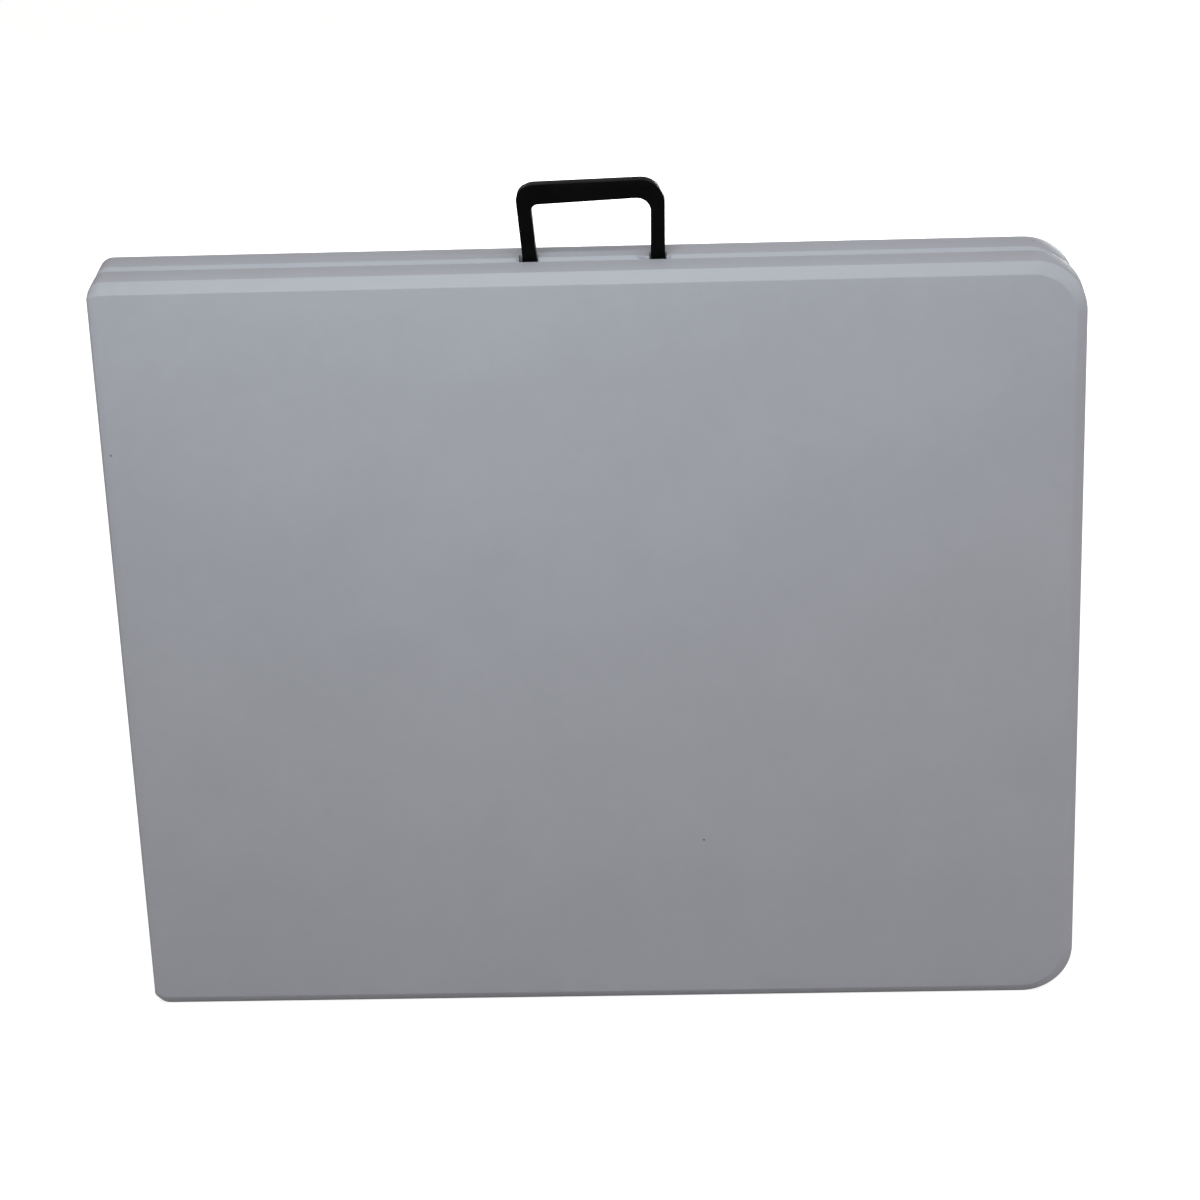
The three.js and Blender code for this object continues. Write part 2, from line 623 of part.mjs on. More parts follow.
place(backHalf, "back_top_panel", backPanel(), panelPlastic);
place(frontHalf, "front_top_panel", panelBlank(), panelPlastic);
legAssembly(backHalf, "back");
legAssembly(frontHalf, "front");
for (const [side, z] of hingeSpans) {
  place(backHalf, `${side}_hinge_back_leaf`, hingeLeaf(z, outerKnuckles), zincSteel);
  place(frontHalf, `${side}_hinge_front_leaf`, hingeLeaf(z, middleKnuckle), zincSteel);
  place(backHalf, `${side}_hinge_pin`, upright(0, 0, [z, z + HINGE_LENGTH], HINGE_PIN_R), zincSteel);
}
place(backHalf, "carry_handle", carryHandle(), blackPlastic);
place(backHalf, "handle_guide", handleGuide(), zincSteel);
place(frontHalf, "catch_tongue", catchTongue(), blackPlastic);
place(backHalf, "catch_clip", catchClip(), blackPlastic);

export default table;
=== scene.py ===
"""Folding table: a blow-moulded one that folds in half, shut and on one long edge, its handle pulled out.

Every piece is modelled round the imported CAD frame, in metres, with the fold axis along Z near -X, the two
halves on either side of the plane Y = 0 and the floor at Z = 0. Each operator makes one kind of piece.
"""

import math

import bmesh
import bpy
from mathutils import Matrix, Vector


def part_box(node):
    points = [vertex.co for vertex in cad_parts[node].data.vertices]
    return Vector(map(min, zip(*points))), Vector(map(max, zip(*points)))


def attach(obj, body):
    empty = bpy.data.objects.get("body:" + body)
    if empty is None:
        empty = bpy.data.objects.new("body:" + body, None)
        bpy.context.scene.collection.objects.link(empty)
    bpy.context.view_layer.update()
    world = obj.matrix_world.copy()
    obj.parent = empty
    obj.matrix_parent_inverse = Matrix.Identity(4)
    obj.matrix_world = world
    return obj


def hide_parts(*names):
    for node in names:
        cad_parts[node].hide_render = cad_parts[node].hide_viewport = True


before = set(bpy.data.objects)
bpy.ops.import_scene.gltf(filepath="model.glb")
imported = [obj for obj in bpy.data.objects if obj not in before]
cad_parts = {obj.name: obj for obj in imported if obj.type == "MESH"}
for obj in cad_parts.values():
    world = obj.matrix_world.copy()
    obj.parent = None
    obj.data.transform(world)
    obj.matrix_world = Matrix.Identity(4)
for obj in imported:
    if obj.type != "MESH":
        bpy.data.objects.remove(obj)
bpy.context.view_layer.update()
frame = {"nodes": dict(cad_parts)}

bl_info = {
    "name": "Folding table",
    "version": (1, 0, 0),
    "blender": (4, 5, 0),
    "location": "View3D > Sidebar > Folding table",
    "description": "Models a fold-in-half plastic table around its CAD frame",
    "category": "Add Mesh",
}

MM = 0.001
RAIL_WALL = 1.5 * MM
TUBE_WALL = 1.2 * MM
LEG_RADIUS = 11 * MM
BAR_RADIUS = 9 * MM
CAP_TIP = ((0.6, 4.5), (0, 3.9), (0, 1.8), (0.5, 0.6), (1.6, 0))  # mm along a foot cap and in from its side
CAP_GROOVE = ((0, 0), (0.4, 0.6), (1.6, 0.6), (2.0, 0))
HALVES = (("back", 1), ("front", -1))  # a half's name and the side of Y = 0 that it lies on
ENDS = ("lower", "upper")


def middle_of(node, axis):
    """The middle of a CAD node's box along one axis."""
    low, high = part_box(node)
    return (getattr(low, axis) + getattr(high, axis)) / 2


FOLD_X = middle_of("lower_hinge_pin", "x")
PANEL_LOW, PANEL_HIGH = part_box("back_top_panel")
PANEL_HIGH.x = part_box("front_top_panel")[1].x  # the back half stops a little short of the front
TABLE_TOP = PANEL_HIGH.z
MIDDLE = TABLE_TOP / 2
TUBE_DEPTH = middle_of("back_leg_lower", "y")  # middle of the stowed legs, from the parting plane
FLOOR_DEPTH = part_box("back_side_rail_lower")[1].y  # the recess floor, less its seating gap

RIM = 22 * MM
RECESS_DEPTH = 27 * MM
SKIN_MARGIN = 0.8 * MM  # underside skin to the recess walls
RAIL_LAND = 19 * MM  # flat strip on each side of a rail's middle
RECESS_DRAFT = 1.4 * MM  # how far each wall leans in from the rim to the floor
SHELL_DEPTH = 40 * MM  # the table top's own skin starts here
BORDER_DEPTH = 8 * MM  # sloped border of the table top
BORDER_WIDTH = 10.3 * MM
SEAM_CHAMFER = 6.4 * MM
OUTER_CORNER = 49.5 * MM
FOLD_CORNER = 14 * MM
FOLD_EDGE = 2 * MM
HINGE_BOSS = 4 * MM  # plastic left standing round a leaf
HINGE_PLAY = 0.5 * MM
BOSS_CORNER = 3 * MM
RECESS_CORNER = 4 * MM
KNUCKLE_ROOM = 5.1 * MM
LEAF_THICK = 2 * MM
GUIDE_THICK = 1.6 * MM
SLIDE_PLAY = 0.6 * MM
HANDLE_LEG = 13 * MM
HANDLE_FLANGE = 5 * MM  # how far its feet stand out on each side
HANDLE_FOOT = 6 * MM
HANDLE_BAR = 17 * MM
HANDLE_OUTER_CORNERS = (15 * MM, 22 * MM)  # left and right
HANDLE_INNER_CORNERS = (6 * MM, 12.5 * MM)
SLOT_PLAY = 1.5 * MM
LEAN_ROOM = 1.7 * MM
LAND_HEIGHT = 9 * MM
LAND_ENDS = (  # each land's reach past the left and right side of its leg, and how much of it is taper
    ((7.5 * MM, 4 * MM), (3.5 * MM, 2 * MM)),
    ((17 * MM, 12 * MM), (7.5 * MM, 4 * MM)),
)
PLATE_FACE = 0.3 * MM  # hinge leaves and handle guide, from the parting plane
SCREW_SEAT = 5 * MM  # rim of a countersunk hole
RAIL_SCREWS = (0.04, 0.27, 0.5, 0.73, 0.96)  # as shares of a rail's length
PAST = 5 * MM  # how far a cutter runs past what it cuts


# ---- modelling helpers


def deselect():
    bpy.ops.object.select_all(action="DESELECT")


def choose(piece):
    deselect()
    piece.select_set(True)
    bpy.context.view_layer.objects.active = piece


def settle(name):
    """Names the new primitive and puts its place into its mesh."""
    piece = bpy.context.object
    piece.name = piece.data.name = name
    bpy.ops.object.transform_apply(location=True, rotation=True, scale=True)
    return piece


def block(name, low, high):
    low, high = Vector(low), Vector(high)
    deselect()
    bpy.ops.mesh.primitive_cube_add(size=1, location=(low + high) / 2, scale=high - low)
    return settle(name)


def edit(piece):
    choose(piece)
    bpy.ops.object.mode_set(mode="EDIT")


def leave():
    bpy.ops.object.mode_set(mode="OBJECT")


def pick(kind, test):
    """Selects the faces, edges or vertices of the piece in edit mode that pass a test."""
    mesh = bpy.context.object.data
    bpy.ops.mesh.select_mode(type=kind)
    bpy.ops.mesh.select_all(action="DESELECT")
    shape = bmesh.from_edit_mesh(mesh)
    for item in {"FACE": shape.faces, "EDGE": shape.edges, "VERT": shape.verts}[kind]:
        if test(item):
            item.select_set(True)
    shape.select_flush_mode()
    bmesh.update_edit_mesh(mesh)


def pick_all():
    bpy.ops.mesh.select_all(action="SELECT")


def pick_faces(direction, where=lambda centre: True):
    towards = Vector(direction).normalized()
    pick("FACE", lambda f: f.normal.dot(towards) > 0.999 and where(f.calc_center_median()))


def pick_edges(direction, where=lambda middle: True):
    along = Vector(direction).normalized()

    def fits(edge):
        a, b = (v.co for v in edge.verts)
        return abs((b - a).normalized().dot(along)) > 0.999 and where((a + b) / 2)

    pick("EDGE", fits)


def faces_along_x(face):
    return abs(face.normal.x) > 0.999


def round_picked(radius, segments):
    bpy.ops.mesh.bevel(offset=radius, segments=segments, affect="EDGES", clamp_overlap=False)


def inset_picked(width, depth=0.0):
    bpy.ops.mesh.inset(thickness=width, depth=depth, use_even_offset=True)


def scale_picked(shares, about):
    bpy.ops.transform.resize(value=shares, center_override=about)


def push_picked(*move):
    bpy.ops.mesh.extrude_region_move(TRANSFORM_OT_translate={"value": move})


def modify(piece, kind, **settings):
    """Adds a modifier and applies it at once."""
    modifier = piece.modifiers.new(kind.title(), kind)
    for key, value in settings.items():
        setattr(modifier, key, value)
    choose(piece)
    bpy.ops.object.modifier_apply(modifier=modifier.name)
    return piece


def soften(piece, radius, segments=2, angle=30):
    """Rounds every edge that turns by more than an angle."""
    limits = {"limit_method": "ANGLE", "angle_limit": math.radians(angle)}
    return modify(piece, "BEVEL", width=radius, segments=segments, **limits)


def carve(piece, cutter, operation="DIFFERENCE"):
    """Cuts a piece with another, or joins them, and removes the second."""
    modify(piece, "BOOLEAN", operation=operation, object=cutter, solver="EXACT")
    bpy.data.meshes.remove(cutter.data)
    return piece


def merge(piece, other):
    choose(piece)
    other.select_set(True)
    bpy.ops.object.join()


def right_side_out(distance=1e-6):
    """Merges doubles and turns all faces outwards, on the piece in edit mode."""
    bpy.ops.mesh.select_mode(type="VERT")
    pick_all()
    bpy.ops.mesh.remove_doubles(threshold=distance)
    bpy.ops.mesh.normals_make_consistent(inside=False)


def turn_over(piece):
    """Mirrors a piece from the back half to the front half."""
    edit(piece)
    pick_all()
    scale_picked((1, -1, 1), (0, 0, 0))
    right_side_out()
    leave()
    return piece


def twin(piece, name):
    """A copy with its own mesh."""
    choose(piece)
    bpy.ops.object.duplicate(linked=False)
    copy = bpy.context.object
    copy.name = copy.data.name = name
    return copy


def turned(name, start, direction, stations, sides=32):
    """A round part grown by extruding a disc along its axis: each station is (distance, radius)."""
    start, along = Vector(start), Vector(direction).normalized()
    distance, radius = stations[0]
    place_at, turn = start + along * distance, along.to_track_quat("Z", "Y").to_euler()
    deselect()
    bpy.ops.mesh.primitive_circle_add(
        vertices=sides, radius=radius, fill_type="NGON", location=place_at, rotation=turn
    )
    piece = settle(name)
    edit(piece)
    pick_all()
    for next_distance, next_radius in stations[1:]:
        push_picked(*(along * (next_distance - distance)))
        share = next_radius / radius
        scale_picked((share,) * 3, start + along * next_distance)
        distance, radius = next_distance, next_radius
    right_side_out(1e-7)
    leave()
    return piece


def both_ends(stations, length):
    """The stations of one end, and the same again for the other."""
    return stations + [(length - distance, radius) for distance, radius in reversed(stations)]


def tube_stations(length, radius, wall=TUBE_WALL, depth=30 * MM, edge=0.4 * MM):
    """Both ends of a tube, open to a blind bore, with their cut edges broken."""
    inner = radius - wall
    end = [(depth, inner), (edge, inner), (0, inner + edge), (0, radius - edge), (edge, radius)]
    return both_ends(end, length)


def refined(node, name, radius, segments=2, angle=30):
    """A copy of a CAD node with its facets merged and its edges rounded."""
    piece = twin(frame["nodes"][node], name)
    for key in [k for k in piece.keys() if k.startswith("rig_")]:
        del piece[key]
    piece.parent = None
    edit(piece)
    right_side_out()
    bpy.ops.mesh.dissolve_limited(angle_limit=math.radians(0.5))
    leave()
    return soften(piece, radius, segments, angle)


def place(piece, body, slot, nodes=(), smooth=35):
    """Shades a finished piece, gives it its finish and hangs it on its CAD body."""
    choose(piece)
    bpy.ops.object.shade_smooth_by_angle(angle=math.radians(smooth))
    piece.data.materials.clear()
    piece.data.materials.append(finish_for(slot))
    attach(piece, body)
    if nodes:
        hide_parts(*nodes)
    return piece


# ---- finishes


def set_inputs(tree, node, inputs):
    """An input that is a socket is linked, and any other is set."""
    for key, value in inputs.items():
        if isinstance(value, bpy.types.NodeSocket):
            tree.links.new(value, node.inputs[key])
        else:
            node.inputs[key].default_value = value


def add_node(tree, kind, settings=None, inputs=None):
    node = tree.nodes.new(kind)
    for key, value in (settings or {}).items():
        setattr(node, key, value)
    set_inputs(tree, node, inputs or {})
    return node


def maths(tree, operation, a, b):
    return add_node(tree, "ShaderNodeMath", {"operation": operation}, {0: a, 1: b}).outputs[0]


def add(tree, a, b):
    return maths(tree, "ADD", a, b)


def multiply(tree, a, b):
    return maths(tree, "MULTIPLY", a, b)


def spread(tree, value, low, high, to_low=0.0, to_high=1.0):
    inputs = {"Value": value, "From Min": low, "From Max": high, "To Min": to_low, "To Max": to_high}
    return add_node(tree, "ShaderNodeMapRange", {"interpolation_type": "SMOOTHSTEP"}, inputs).outputs[0]


def mix_colour(tree, share, first, second):
    inputs = {0: share, 6: first, 7: second}
    return add_node(tree, "ShaderNodeMix", {"data_type": "RGBA"}, inputs).outputs[2]


def noise(tree, vector, scale, detail=2.0, roughness=0.5):
    inputs = {"Vector": vector, "Scale": scale, "Detail": detail, "Roughness": roughness}
    return add_node(tree, "ShaderNodeTexNoise", None, inputs).outputs["Fac"]


def stretched(tree, vector, scale, turn=(0.0, 0.0, 0.0)):
    inputs = {"Vector": vector, "Rotation": turn, "Scale": scale}
    return add_node(tree, "ShaderNodeMapping", None, inputs).outputs[0]


def bump(tree, height, distance):
    inputs = {"Height": height, "Distance": distance, "Strength": 1.0}
    return add_node(tree, "ShaderNodeBump", None, inputs).outputs[0]


def grain(tree, given):
    """Moulded or sprayed grain: small pebbles of one size, with finer noise over them."""
    scale = maths(tree, "DIVIDE", 1.0, given["Size"])
    inputs = {"Vector": given["Place"], "Scale": scale, "Smoothness": 0.6}
    pebbles = add_node(tree, "ShaderNodeTexVoronoi", {"feature": "SMOOTH_F1"}, inputs).outputs["Distance"]
    fine = noise(tree, given["Place"], multiply(tree, scale, 1.7), 3.0)
    return add(tree, multiply(tree, pebbles, 0.5), multiply(tree, fine, 0.5))


def mottle(tree, given):
    """Cloudy variation of tone at two sizes."""
    scale = maths(tree, "DIVIDE", 1.0, given["Size"])
    broad = noise(tree, given["Place"], scale, 2.0)
    small = noise(tree, given["Place"], multiply(tree, scale, 7.0), 3.0, 0.6)
    return spread(tree, add(tree, multiply(tree, broad, 0.6), multiply(tree, small, 0.4)), 0.3, 0.7)


def specks(tree, given):
    """Sparse small marks, some darker than others."""
    scale = maths(tree, "DIVIDE", 1.0, given["Spacing"])
    inputs = {"Vector": given["Place"], "Scale": scale}
    cells = add_node(tree, "ShaderNodeTexVoronoi", {"feature": "F1"}, inputs)
    reach = maths(tree, "DIVIDE", given["Size"], given["Spacing"])
    wobble = noise(tree, given["Place"], multiply(tree, scale, 14.0), 1.0)
    limit = multiply(tree, reach, add(tree, wobble, 0.5))
    inside = maths(tree, "LESS_THAN", cells.outputs["Distance"], limit)
    parts = add_node(tree, "ShaderNodeSeparateColor", None, {"Color": cells.outputs["Color"]})
    chosen = maths(tree, "LESS_THAN", parts.outputs[0], given["Share"])
    strength = spread(tree, parts.outputs[1], 0.0, 1.0, 0.35, 1.0)
    return multiply(tree, multiply(tree, inside, chosen), strength)


def scuffs(tree, given):
    """Short fine scratches that run one way, only in a few worn patches."""
    drawn = stretched(tree, given["Place"], (1.0, 1.0, 22.0), (0.3, 0.9, 0.2))
    lines = spread(tree, noise(tree, drawn, 38.0, 3.0, 0.65), 0.66, 0.72)
    patches = spread(tree, noise(tree, given["Place"], 7.0, 2.0), 0.56, 0.68)
    return multiply(tree, multiply(tree, lines, patches), given["Amount"])


def edge_rub_and_highlight(tree, given):
    """Rounded edges, broken up by noise: a mask for rubbed wear, which the panel and black plastics also use
    for a painted edge highlight.
    """
    rounded = add_node(tree, "ShaderNodeBevel", {"samples": 4}, {"Radius": given["Radius"]}).outputs[0]
    inputs = {0: rounded, 1: add_node(tree, "ShaderNodeNewGeometry").outputs["Normal"]}
    turn = add_node(tree, "ShaderNodeVectorMath", {"operation": "DOT_PRODUCT"}, inputs).outputs["Value"]
    edge = spread(tree, maths(tree, "SUBTRACT", 1.0, turn), 0.002, 0.08)
    broken = spread(tree, noise(tree, given["Place"], 160.0, 4.0, 0.7), 0.42, 0.62)
    return multiply(tree, multiply(tree, edge, broken), given["Amount"])


EFFECTS = {  # what builds each shared effect, and its inputs besides Place with their defaults
    "Grain": (grain, {"Size": 0.001}),
    "Mottle": (mottle, {"Size": 0.1}),
    "Specks": (specks, {"Spacing": 0.02, "Size": 0.001, "Share": 0.3}),
    "Scuffs": (scuffs, {"Amount": 0.5}),
    "Edge rub and highlight": (edge_rub_and_highlight, {"Radius": 0.001, "Amount": 0.5}),
}


def effect(name):
    """The node group of a shared effect, built when it is first asked for."""
    tree = bpy.data.node_groups.get(name)
    if tree is None:
        tree = bpy.data.node_groups.new(name, "ShaderNodeTree")
        build, defaults = EFFECTS[name]
        tree.interface.new_socket(name="Place", in_out="INPUT", socket_type="NodeSocketVector")
        for label, default in defaults.items():
            socket = tree.interface.new_socket(name=label, in_out="INPUT", socket_type="NodeSocketFloat")
            socket.default_value = default
        tree.interface.new_socket(name="Value", in_out="OUTPUT", socket_type="NodeSocketFloat")
        made = build(tree, tree.nodes.new("NodeGroupInput").outputs)
        tree.links.new(made, tree.nodes.new("NodeGroupOutput").inputs["Value"])
    return tree


def use(tree, name, where, **inputs):
    """A shared effect at work in a finish."""
    settings = {"node_tree": effect(name)}
    return add_node(tree, "ShaderNodeGroup", settings, {"Place": where, **inputs}).outputs["Value"]


def new_finish(name):
    """An empty material, its node tree, its shader and its Object coordinates."""
    material = bpy.data.materials.new(name)
    material.use_nodes = True
    tree = material.node_tree
    shader = tree.nodes["Principled BSDF"]
    where = add_node(tree, "ShaderNodeTexCoord").outputs["Object"]
    return material, tree, shader, where


def shade(colour, factor):
    return (*(min(1.0, c * factor) for c in colour[:3]), 1.0)


def panel_plastic(name):
    """Light grey blow-moulded polyethylene with a fine moulded grain."""
    colour = tuple(bpy.context.scene.table_colours.panel)
    material, tree, shader, where = new_finish(name)
    cloud = use(tree, "Mottle", where, Size=0.09)
    lit_rubbed_edge = use(tree, "Edge rub and highlight", where, Radius=1.2 * MM, Amount=0.35)
    marks = use(tree, "Specks", where, Spacing=0.045, Size=1.1 * MM, Share=0.22)
    lines = use(tree, "Scuffs", where, Amount=0.3)
    tone = mix_colour(tree, cloud, shade(colour, 0.975), shade(colour, 1.02))
    # Rounded edges made lighter: partly rubbed wear, partly a painted highlight along the edges.
    tone = mix_colour(tree, lit_rubbed_edge, tone, shade(colour, 1.18))
    tone = mix_colour(tree, lines, tone, shade(colour, 0.82))
    tone = mix_colour(tree, marks, tone, (0.16, 0.13, 0.11, 1.0))
    rough = add(tree, spread(tree, cloud, 0.0, 1.0, 0.5, 0.58), multiply(tree, lines, 0.2))
    pebble = use(tree, "Grain", where, Size=1.3 * MM)
    height = add(tree, multiply(tree, pebble, 0.3), noise(tree, where, 22.0, 2.0))
    inputs = {"Base Color": tone, "Roughness": rough, "Specular IOR Level": 0.4}
    set_inputs(tree, shader, {**inputs, "Normal": bump(tree, height, 0.12 * MM)})
    return material


def powder_coat(name):
    """Grey powder coat on steel: orange peel, rubbed edges and a little dust."""
    colour = tuple(bpy.context.scene.table_colours.frame)
    material, tree, shader, where = new_finish(name)
    cloud = use(tree, "Mottle", where, Size=0.05)
    lit_rubbed_edge = use(tree, "Edge rub and highlight", where, Radius=0.8 * MM, Amount=0.6)
    marks = use(tree, "Specks", where, Spacing=0.02, Size=0.5 * MM, Share=0.25)
    tone = mix_colour(tree, cloud, shade(colour, 0.93), shade(colour, 1.05))
    tone = mix_colour(tree, lit_rubbed_edge, tone, shade(colour, 1.5))
    tone = mix_colour(tree, marks, tone, shade(colour, 0.4))
    rough = spread(tree, cloud, 0.0, 1.0, 0.36, 0.48)
    peel = bump(tree, use(tree, "Grain", where, Size=1.8 * MM), 0.08 * MM)
    inputs = {"Base Color": tone, "Roughness": rough, "Metallic": multiply(tree, lit_rubbed_edge, 0.7), "Normal": peel}
    set_inputs(tree, shader, inputs)
    return material


def zinc_steel(name):
    """Bright zinc plate, faintly yellow in places, with drawn scratches."""
    colour = tuple(bpy.context.scene.table_colours.zinc)
    material, tree, shader, where = new_finish(name)
    cloud = use(tree, "Mottle", where, Size=0.02)
    lines = use(tree, "Scuffs", where, Amount=0.2)
    warm = (colour[0], colour[1] * 0.985, colour[2] * 0.93, 1.0)
    tone = mix_colour(tree, cloud, shade(colour, 0.92), warm)
    tone = mix_colour(tree, lines, tone, shade(colour, 1.2))
    rough = spread(tree, cloud, 0.0, 1.0, 0.24, 0.42)
    drawn = bump(tree, noise(tree, stretched(tree, where, (1.0, 1.0, 9.0)), 300.0), 0.03 * MM)
    inputs = {"Base Color": tone, "Roughness": rough, "Metallic": 1.0, "Normal": drawn}
    set_inputs(tree, shader, inputs)
    return material


def black_plastic(name):
    """Black moulded nylon with a fine spark texture."""
    colour = tuple(bpy.context.scene.table_colours.fittings)
    return dark_plastic(name, colour, 0.6 * MM, 0.05 * MM, (0.42, 0.55), 0.3)


def handle_plastic(name):
    """Satin black handle, smoother than the fittings, with rubbed wear and a painted highlight on its
    rounded edges.
    """
    colour = tuple(bpy.context.scene.table_colours.handle)
    return dark_plastic(name, colour, 0.9 * MM, 0.04 * MM, (0.32, 0.46), 0.06)


def dark_plastic(name, colour, grain_size, grain_depth, rough, shine):
    """Either black plastic: rough is its lowest and highest roughness."""
    material, tree, shader, where = new_finish(name)
    cloud = use(tree, "Mottle", where, Size=0.03)
    lit_rubbed_edge = use(tree, "Edge rub and highlight", where, Radius=0.8 * MM, Amount=0.4)
    lines = use(tree, "Scuffs", where, Amount=0.4)
    tone = mix_colour(tree, cloud, shade(colour, 0.85), shade(colour, 1.15))
    # Rounded edges made lighter: rubbed wear, and a painted highlight along the edges.
    tone = mix_colour(tree, lit_rubbed_edge, tone, shade(colour, 2.2))
    tone = mix_colour(tree, lines, tone, shade(colour, 2.0))
    gloss = {"Roughness": spread(tree, cloud, 0.0, 1.0, *rough), "Specular IOR Level": shine}
    normal = bump(tree, use(tree, "Grain", where, Size=grain_size), grain_depth)
    set_inputs(tree, shader, {"Base Color": tone, "Normal": normal, **gloss})
    return material


FINISHES = {  # what each material slot is called and what builds it
    "panel_plastic": ("Moulded panel plastic", panel_plastic),
    "powder_coat": ("Powder coated steel", powder_coat),
    "zinc_steel": ("Zinc plated steel", zinc_steel),
    "black_plastic": ("Black moulded plastic", black_plastic),
    "handle_plastic": ("Handle plastic", handle_plastic),
}


def finish_for(slot):
    name, build = FINISHES[slot]
    return bpy.data.materials.get(name) or build(name)


# ---- settings


def length(name, description, default):
    words = {"name": name, "description": description, "subtype": "DISTANCE", "unit": "LENGTH"}
    return bpy.props.FloatProperty(default=default, min=0.0, precision=4, **words)


def colour(name, description, default):
    words = {"name": name, "description": description, "subtype": "COLOR"}
    return bpy.props.FloatVectorProperty(default=default, min=0.0, max=1.0, size=3, **words)


class TableSizes(bpy.types.PropertyGroup):
    """Sizes of the details that the CAD frame leaves out."""

    moulded_edge: length("Moulded edge", "Radius on the outer edges of the two panels", 1.5 * MM)
    small_edge: length("Small edge", "Radius on the edges inside the recesses and slots", 0.7 * MM)
    dimple_pitch: length("Dimple pitch", "Distance between the moulded dimples under the top", 41 * MM)
    dimple_depth: length("Dimple depth", "Depth of the moulded dimples under the top", 7 * MM)
    handle_edge: length("Handle edge", "Radius on the edges of the carry handle", 2.2 * MM)
    handle_sag: bpy.props.FloatProperty(
        name="Handle sag", description="How far the grip hangs down to one side, in degrees", default=1.4
    )
    handle_flare: length("Handle flare", "How far each leg of the handle leans out at the grip", 1.4 * MM)
    weld: length("Weld", "Thickness of the weld beads on the leg frames", 1.4 * MM)
    screw_head: length("Screw head", "Radius of the heads of the screws", 4.2 * MM)


class TableColours(bpy.types.PropertyGroup):
    """Colours of the table's finishes, as linear values."""

    panel: colour("Panel", "Moulded table top", (0.366, 0.367, 0.401))
    frame: colour("Frame", "Powder coat on the legs, rails and braces", (0.23, 0.24, 0.255))
    zinc: colour("Zinc", "Plated hinges, pins and brackets", (0.43, 0.465, 0.49))
    fittings: colour("Fittings", "Foot caps, saddles, clips and catch", (0.014, 0.014, 0.015))
    handle: colour("Handle", "Carry handle", (0.0016, 0.0016, 0.0016))
    floor: colour("Floor", "Studio floor", (0.65, 0.62, 0.61))


# ---- panels


def step_outline(side, depth, width, rise):
    """Insets the flat face at one depth to the next level, all but the fold side, which stays in line."""
    pick_faces((0, side, 0), lambda c: abs(c.y - depth) < 1e-5)
    inset_picked(width, abs(rise))
    level = depth + rise
    corner_x = PANEL_LOW.x + FOLD_CORNER
    pick("VERT", lambda v: abs(v.co.y - level) < 1e-5 and v.co.x < corner_x - 1e-5)
    scale_picked((FOLD_CORNER / (FOLD_CORNER - width), 1, 1), (corner_x, 0, 0))


def panel_blank(name, end):
    """The solid half out to its end, with its corners, border and seam chamfer, before any cut."""
    low = (PANEL_LOW.x, SEAM_CHAMFER, PANEL_LOW.z)
    high = (end, PANEL_HIGH.y - BORDER_DEPTH, PANEL_HIGH.z)
    piece = block(name, low, high)
    edit(piece)
    pick_edges((0, 1, 0), lambda m: m.x > 0)
    round_picked(OUTER_CORNER, 20)
    pick_edges((0, 1, 0), lambda m: abs(m.x - low[0]) < 1e-5)
    round_picked(FOLD_CORNER, 8)
    first = BORDER_WIDTH * (1 - FOLD_EDGE / BORDER_DEPTH)
    top = high[1] + BORDER_DEPTH - FOLD_EDGE  # the fold side has its small edge above this
    step_outline(1, high[1], first, BORDER_DEPTH - FOLD_EDGE)
    pick_faces((0, 1, 0), lambda c: abs(c.y - top) < 1e-5)
    push_picked(0, FOLD_EDGE, 0)
    old = (end - low[0] - first, TABLE_TOP - 2 * first)
    new = (end - low[0] - BORDER_WIDTH - FOLD_EDGE, TABLE_TOP - 2 * BORDER_WIDTH)
    old_middle = (low[0] + end - first) / 2
    new_middle = (low[0] + FOLD_EDGE + end - BORDER_WIDTH) / 2
    scale_picked((new[0] / old[0], 1, new[1] / old[1]), (old_middle, 0, MIDDLE))
    bpy.ops.transform.translate(value=(new_middle - old_middle, 0, 0))
    step_outline(-1, SEAM_CHAMFER, SEAM_CHAMFER, PANEL_LOW.y - SEAM_CHAMFER)
    leave()
    return piece


def hinge_spans():
    return [(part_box(f"{end}_hinge_pin")[0].z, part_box(f"{end}_hinge_pin")[1].z) for end in ENDS]


def recess_cutter():
    """The hollow under the top, less the bosses that the hinges screw to."""
    low = (PANEL_LOW.x + RIM, -PAST, RIM)
    high = (PANEL_HIGH.x - RIM, SHELL_DEPTH, TABLE_TOP - RIM)
    cutter = block("cutter", low, high)
    edit(cutter)
    pick_edges((0, 1, 0), lambda m: m.x > 0)
    round_picked(OUTER_CORNER - RIM, 14)
    pick_edges((0, 1, 0), lambda m: abs(m.x - low[0]) < 1e-5)
    round_picked(RECESS_CORNER, 4)
    pick("VERT", lambda v: v.co.y > 0)
    share = (1 - 2 * RECESS_DRAFT / (high[0] - low[0]), 1, 1 - 2 * RECESS_DRAFT / (high[2] - low[2]))
    scale_picked(share, ((low[0] + high[0]) / 2, 0, MIDDLE))
    leave()
    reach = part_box("lower_hinge_back_leaf")[1].x + HINGE_BOSS
    past_recess = SHELL_DEPTH + 2 * PAST
    for z0, z1 in hinge_spans():
        low = (PANEL_LOW.x - PAST, -2 * PAST, z0 - HINGE_BOSS)
        boss = block("boss", low, (reach, past_recess, z1 + HINGE_BOSS))
        edit(boss)
        pick_edges((0, 1, 0), lambda m: m.x > PANEL_LOW.x)
        round_picked(BOSS_CORNER, 4)
        leave()
        carve(cutter, boss)
    return cutter


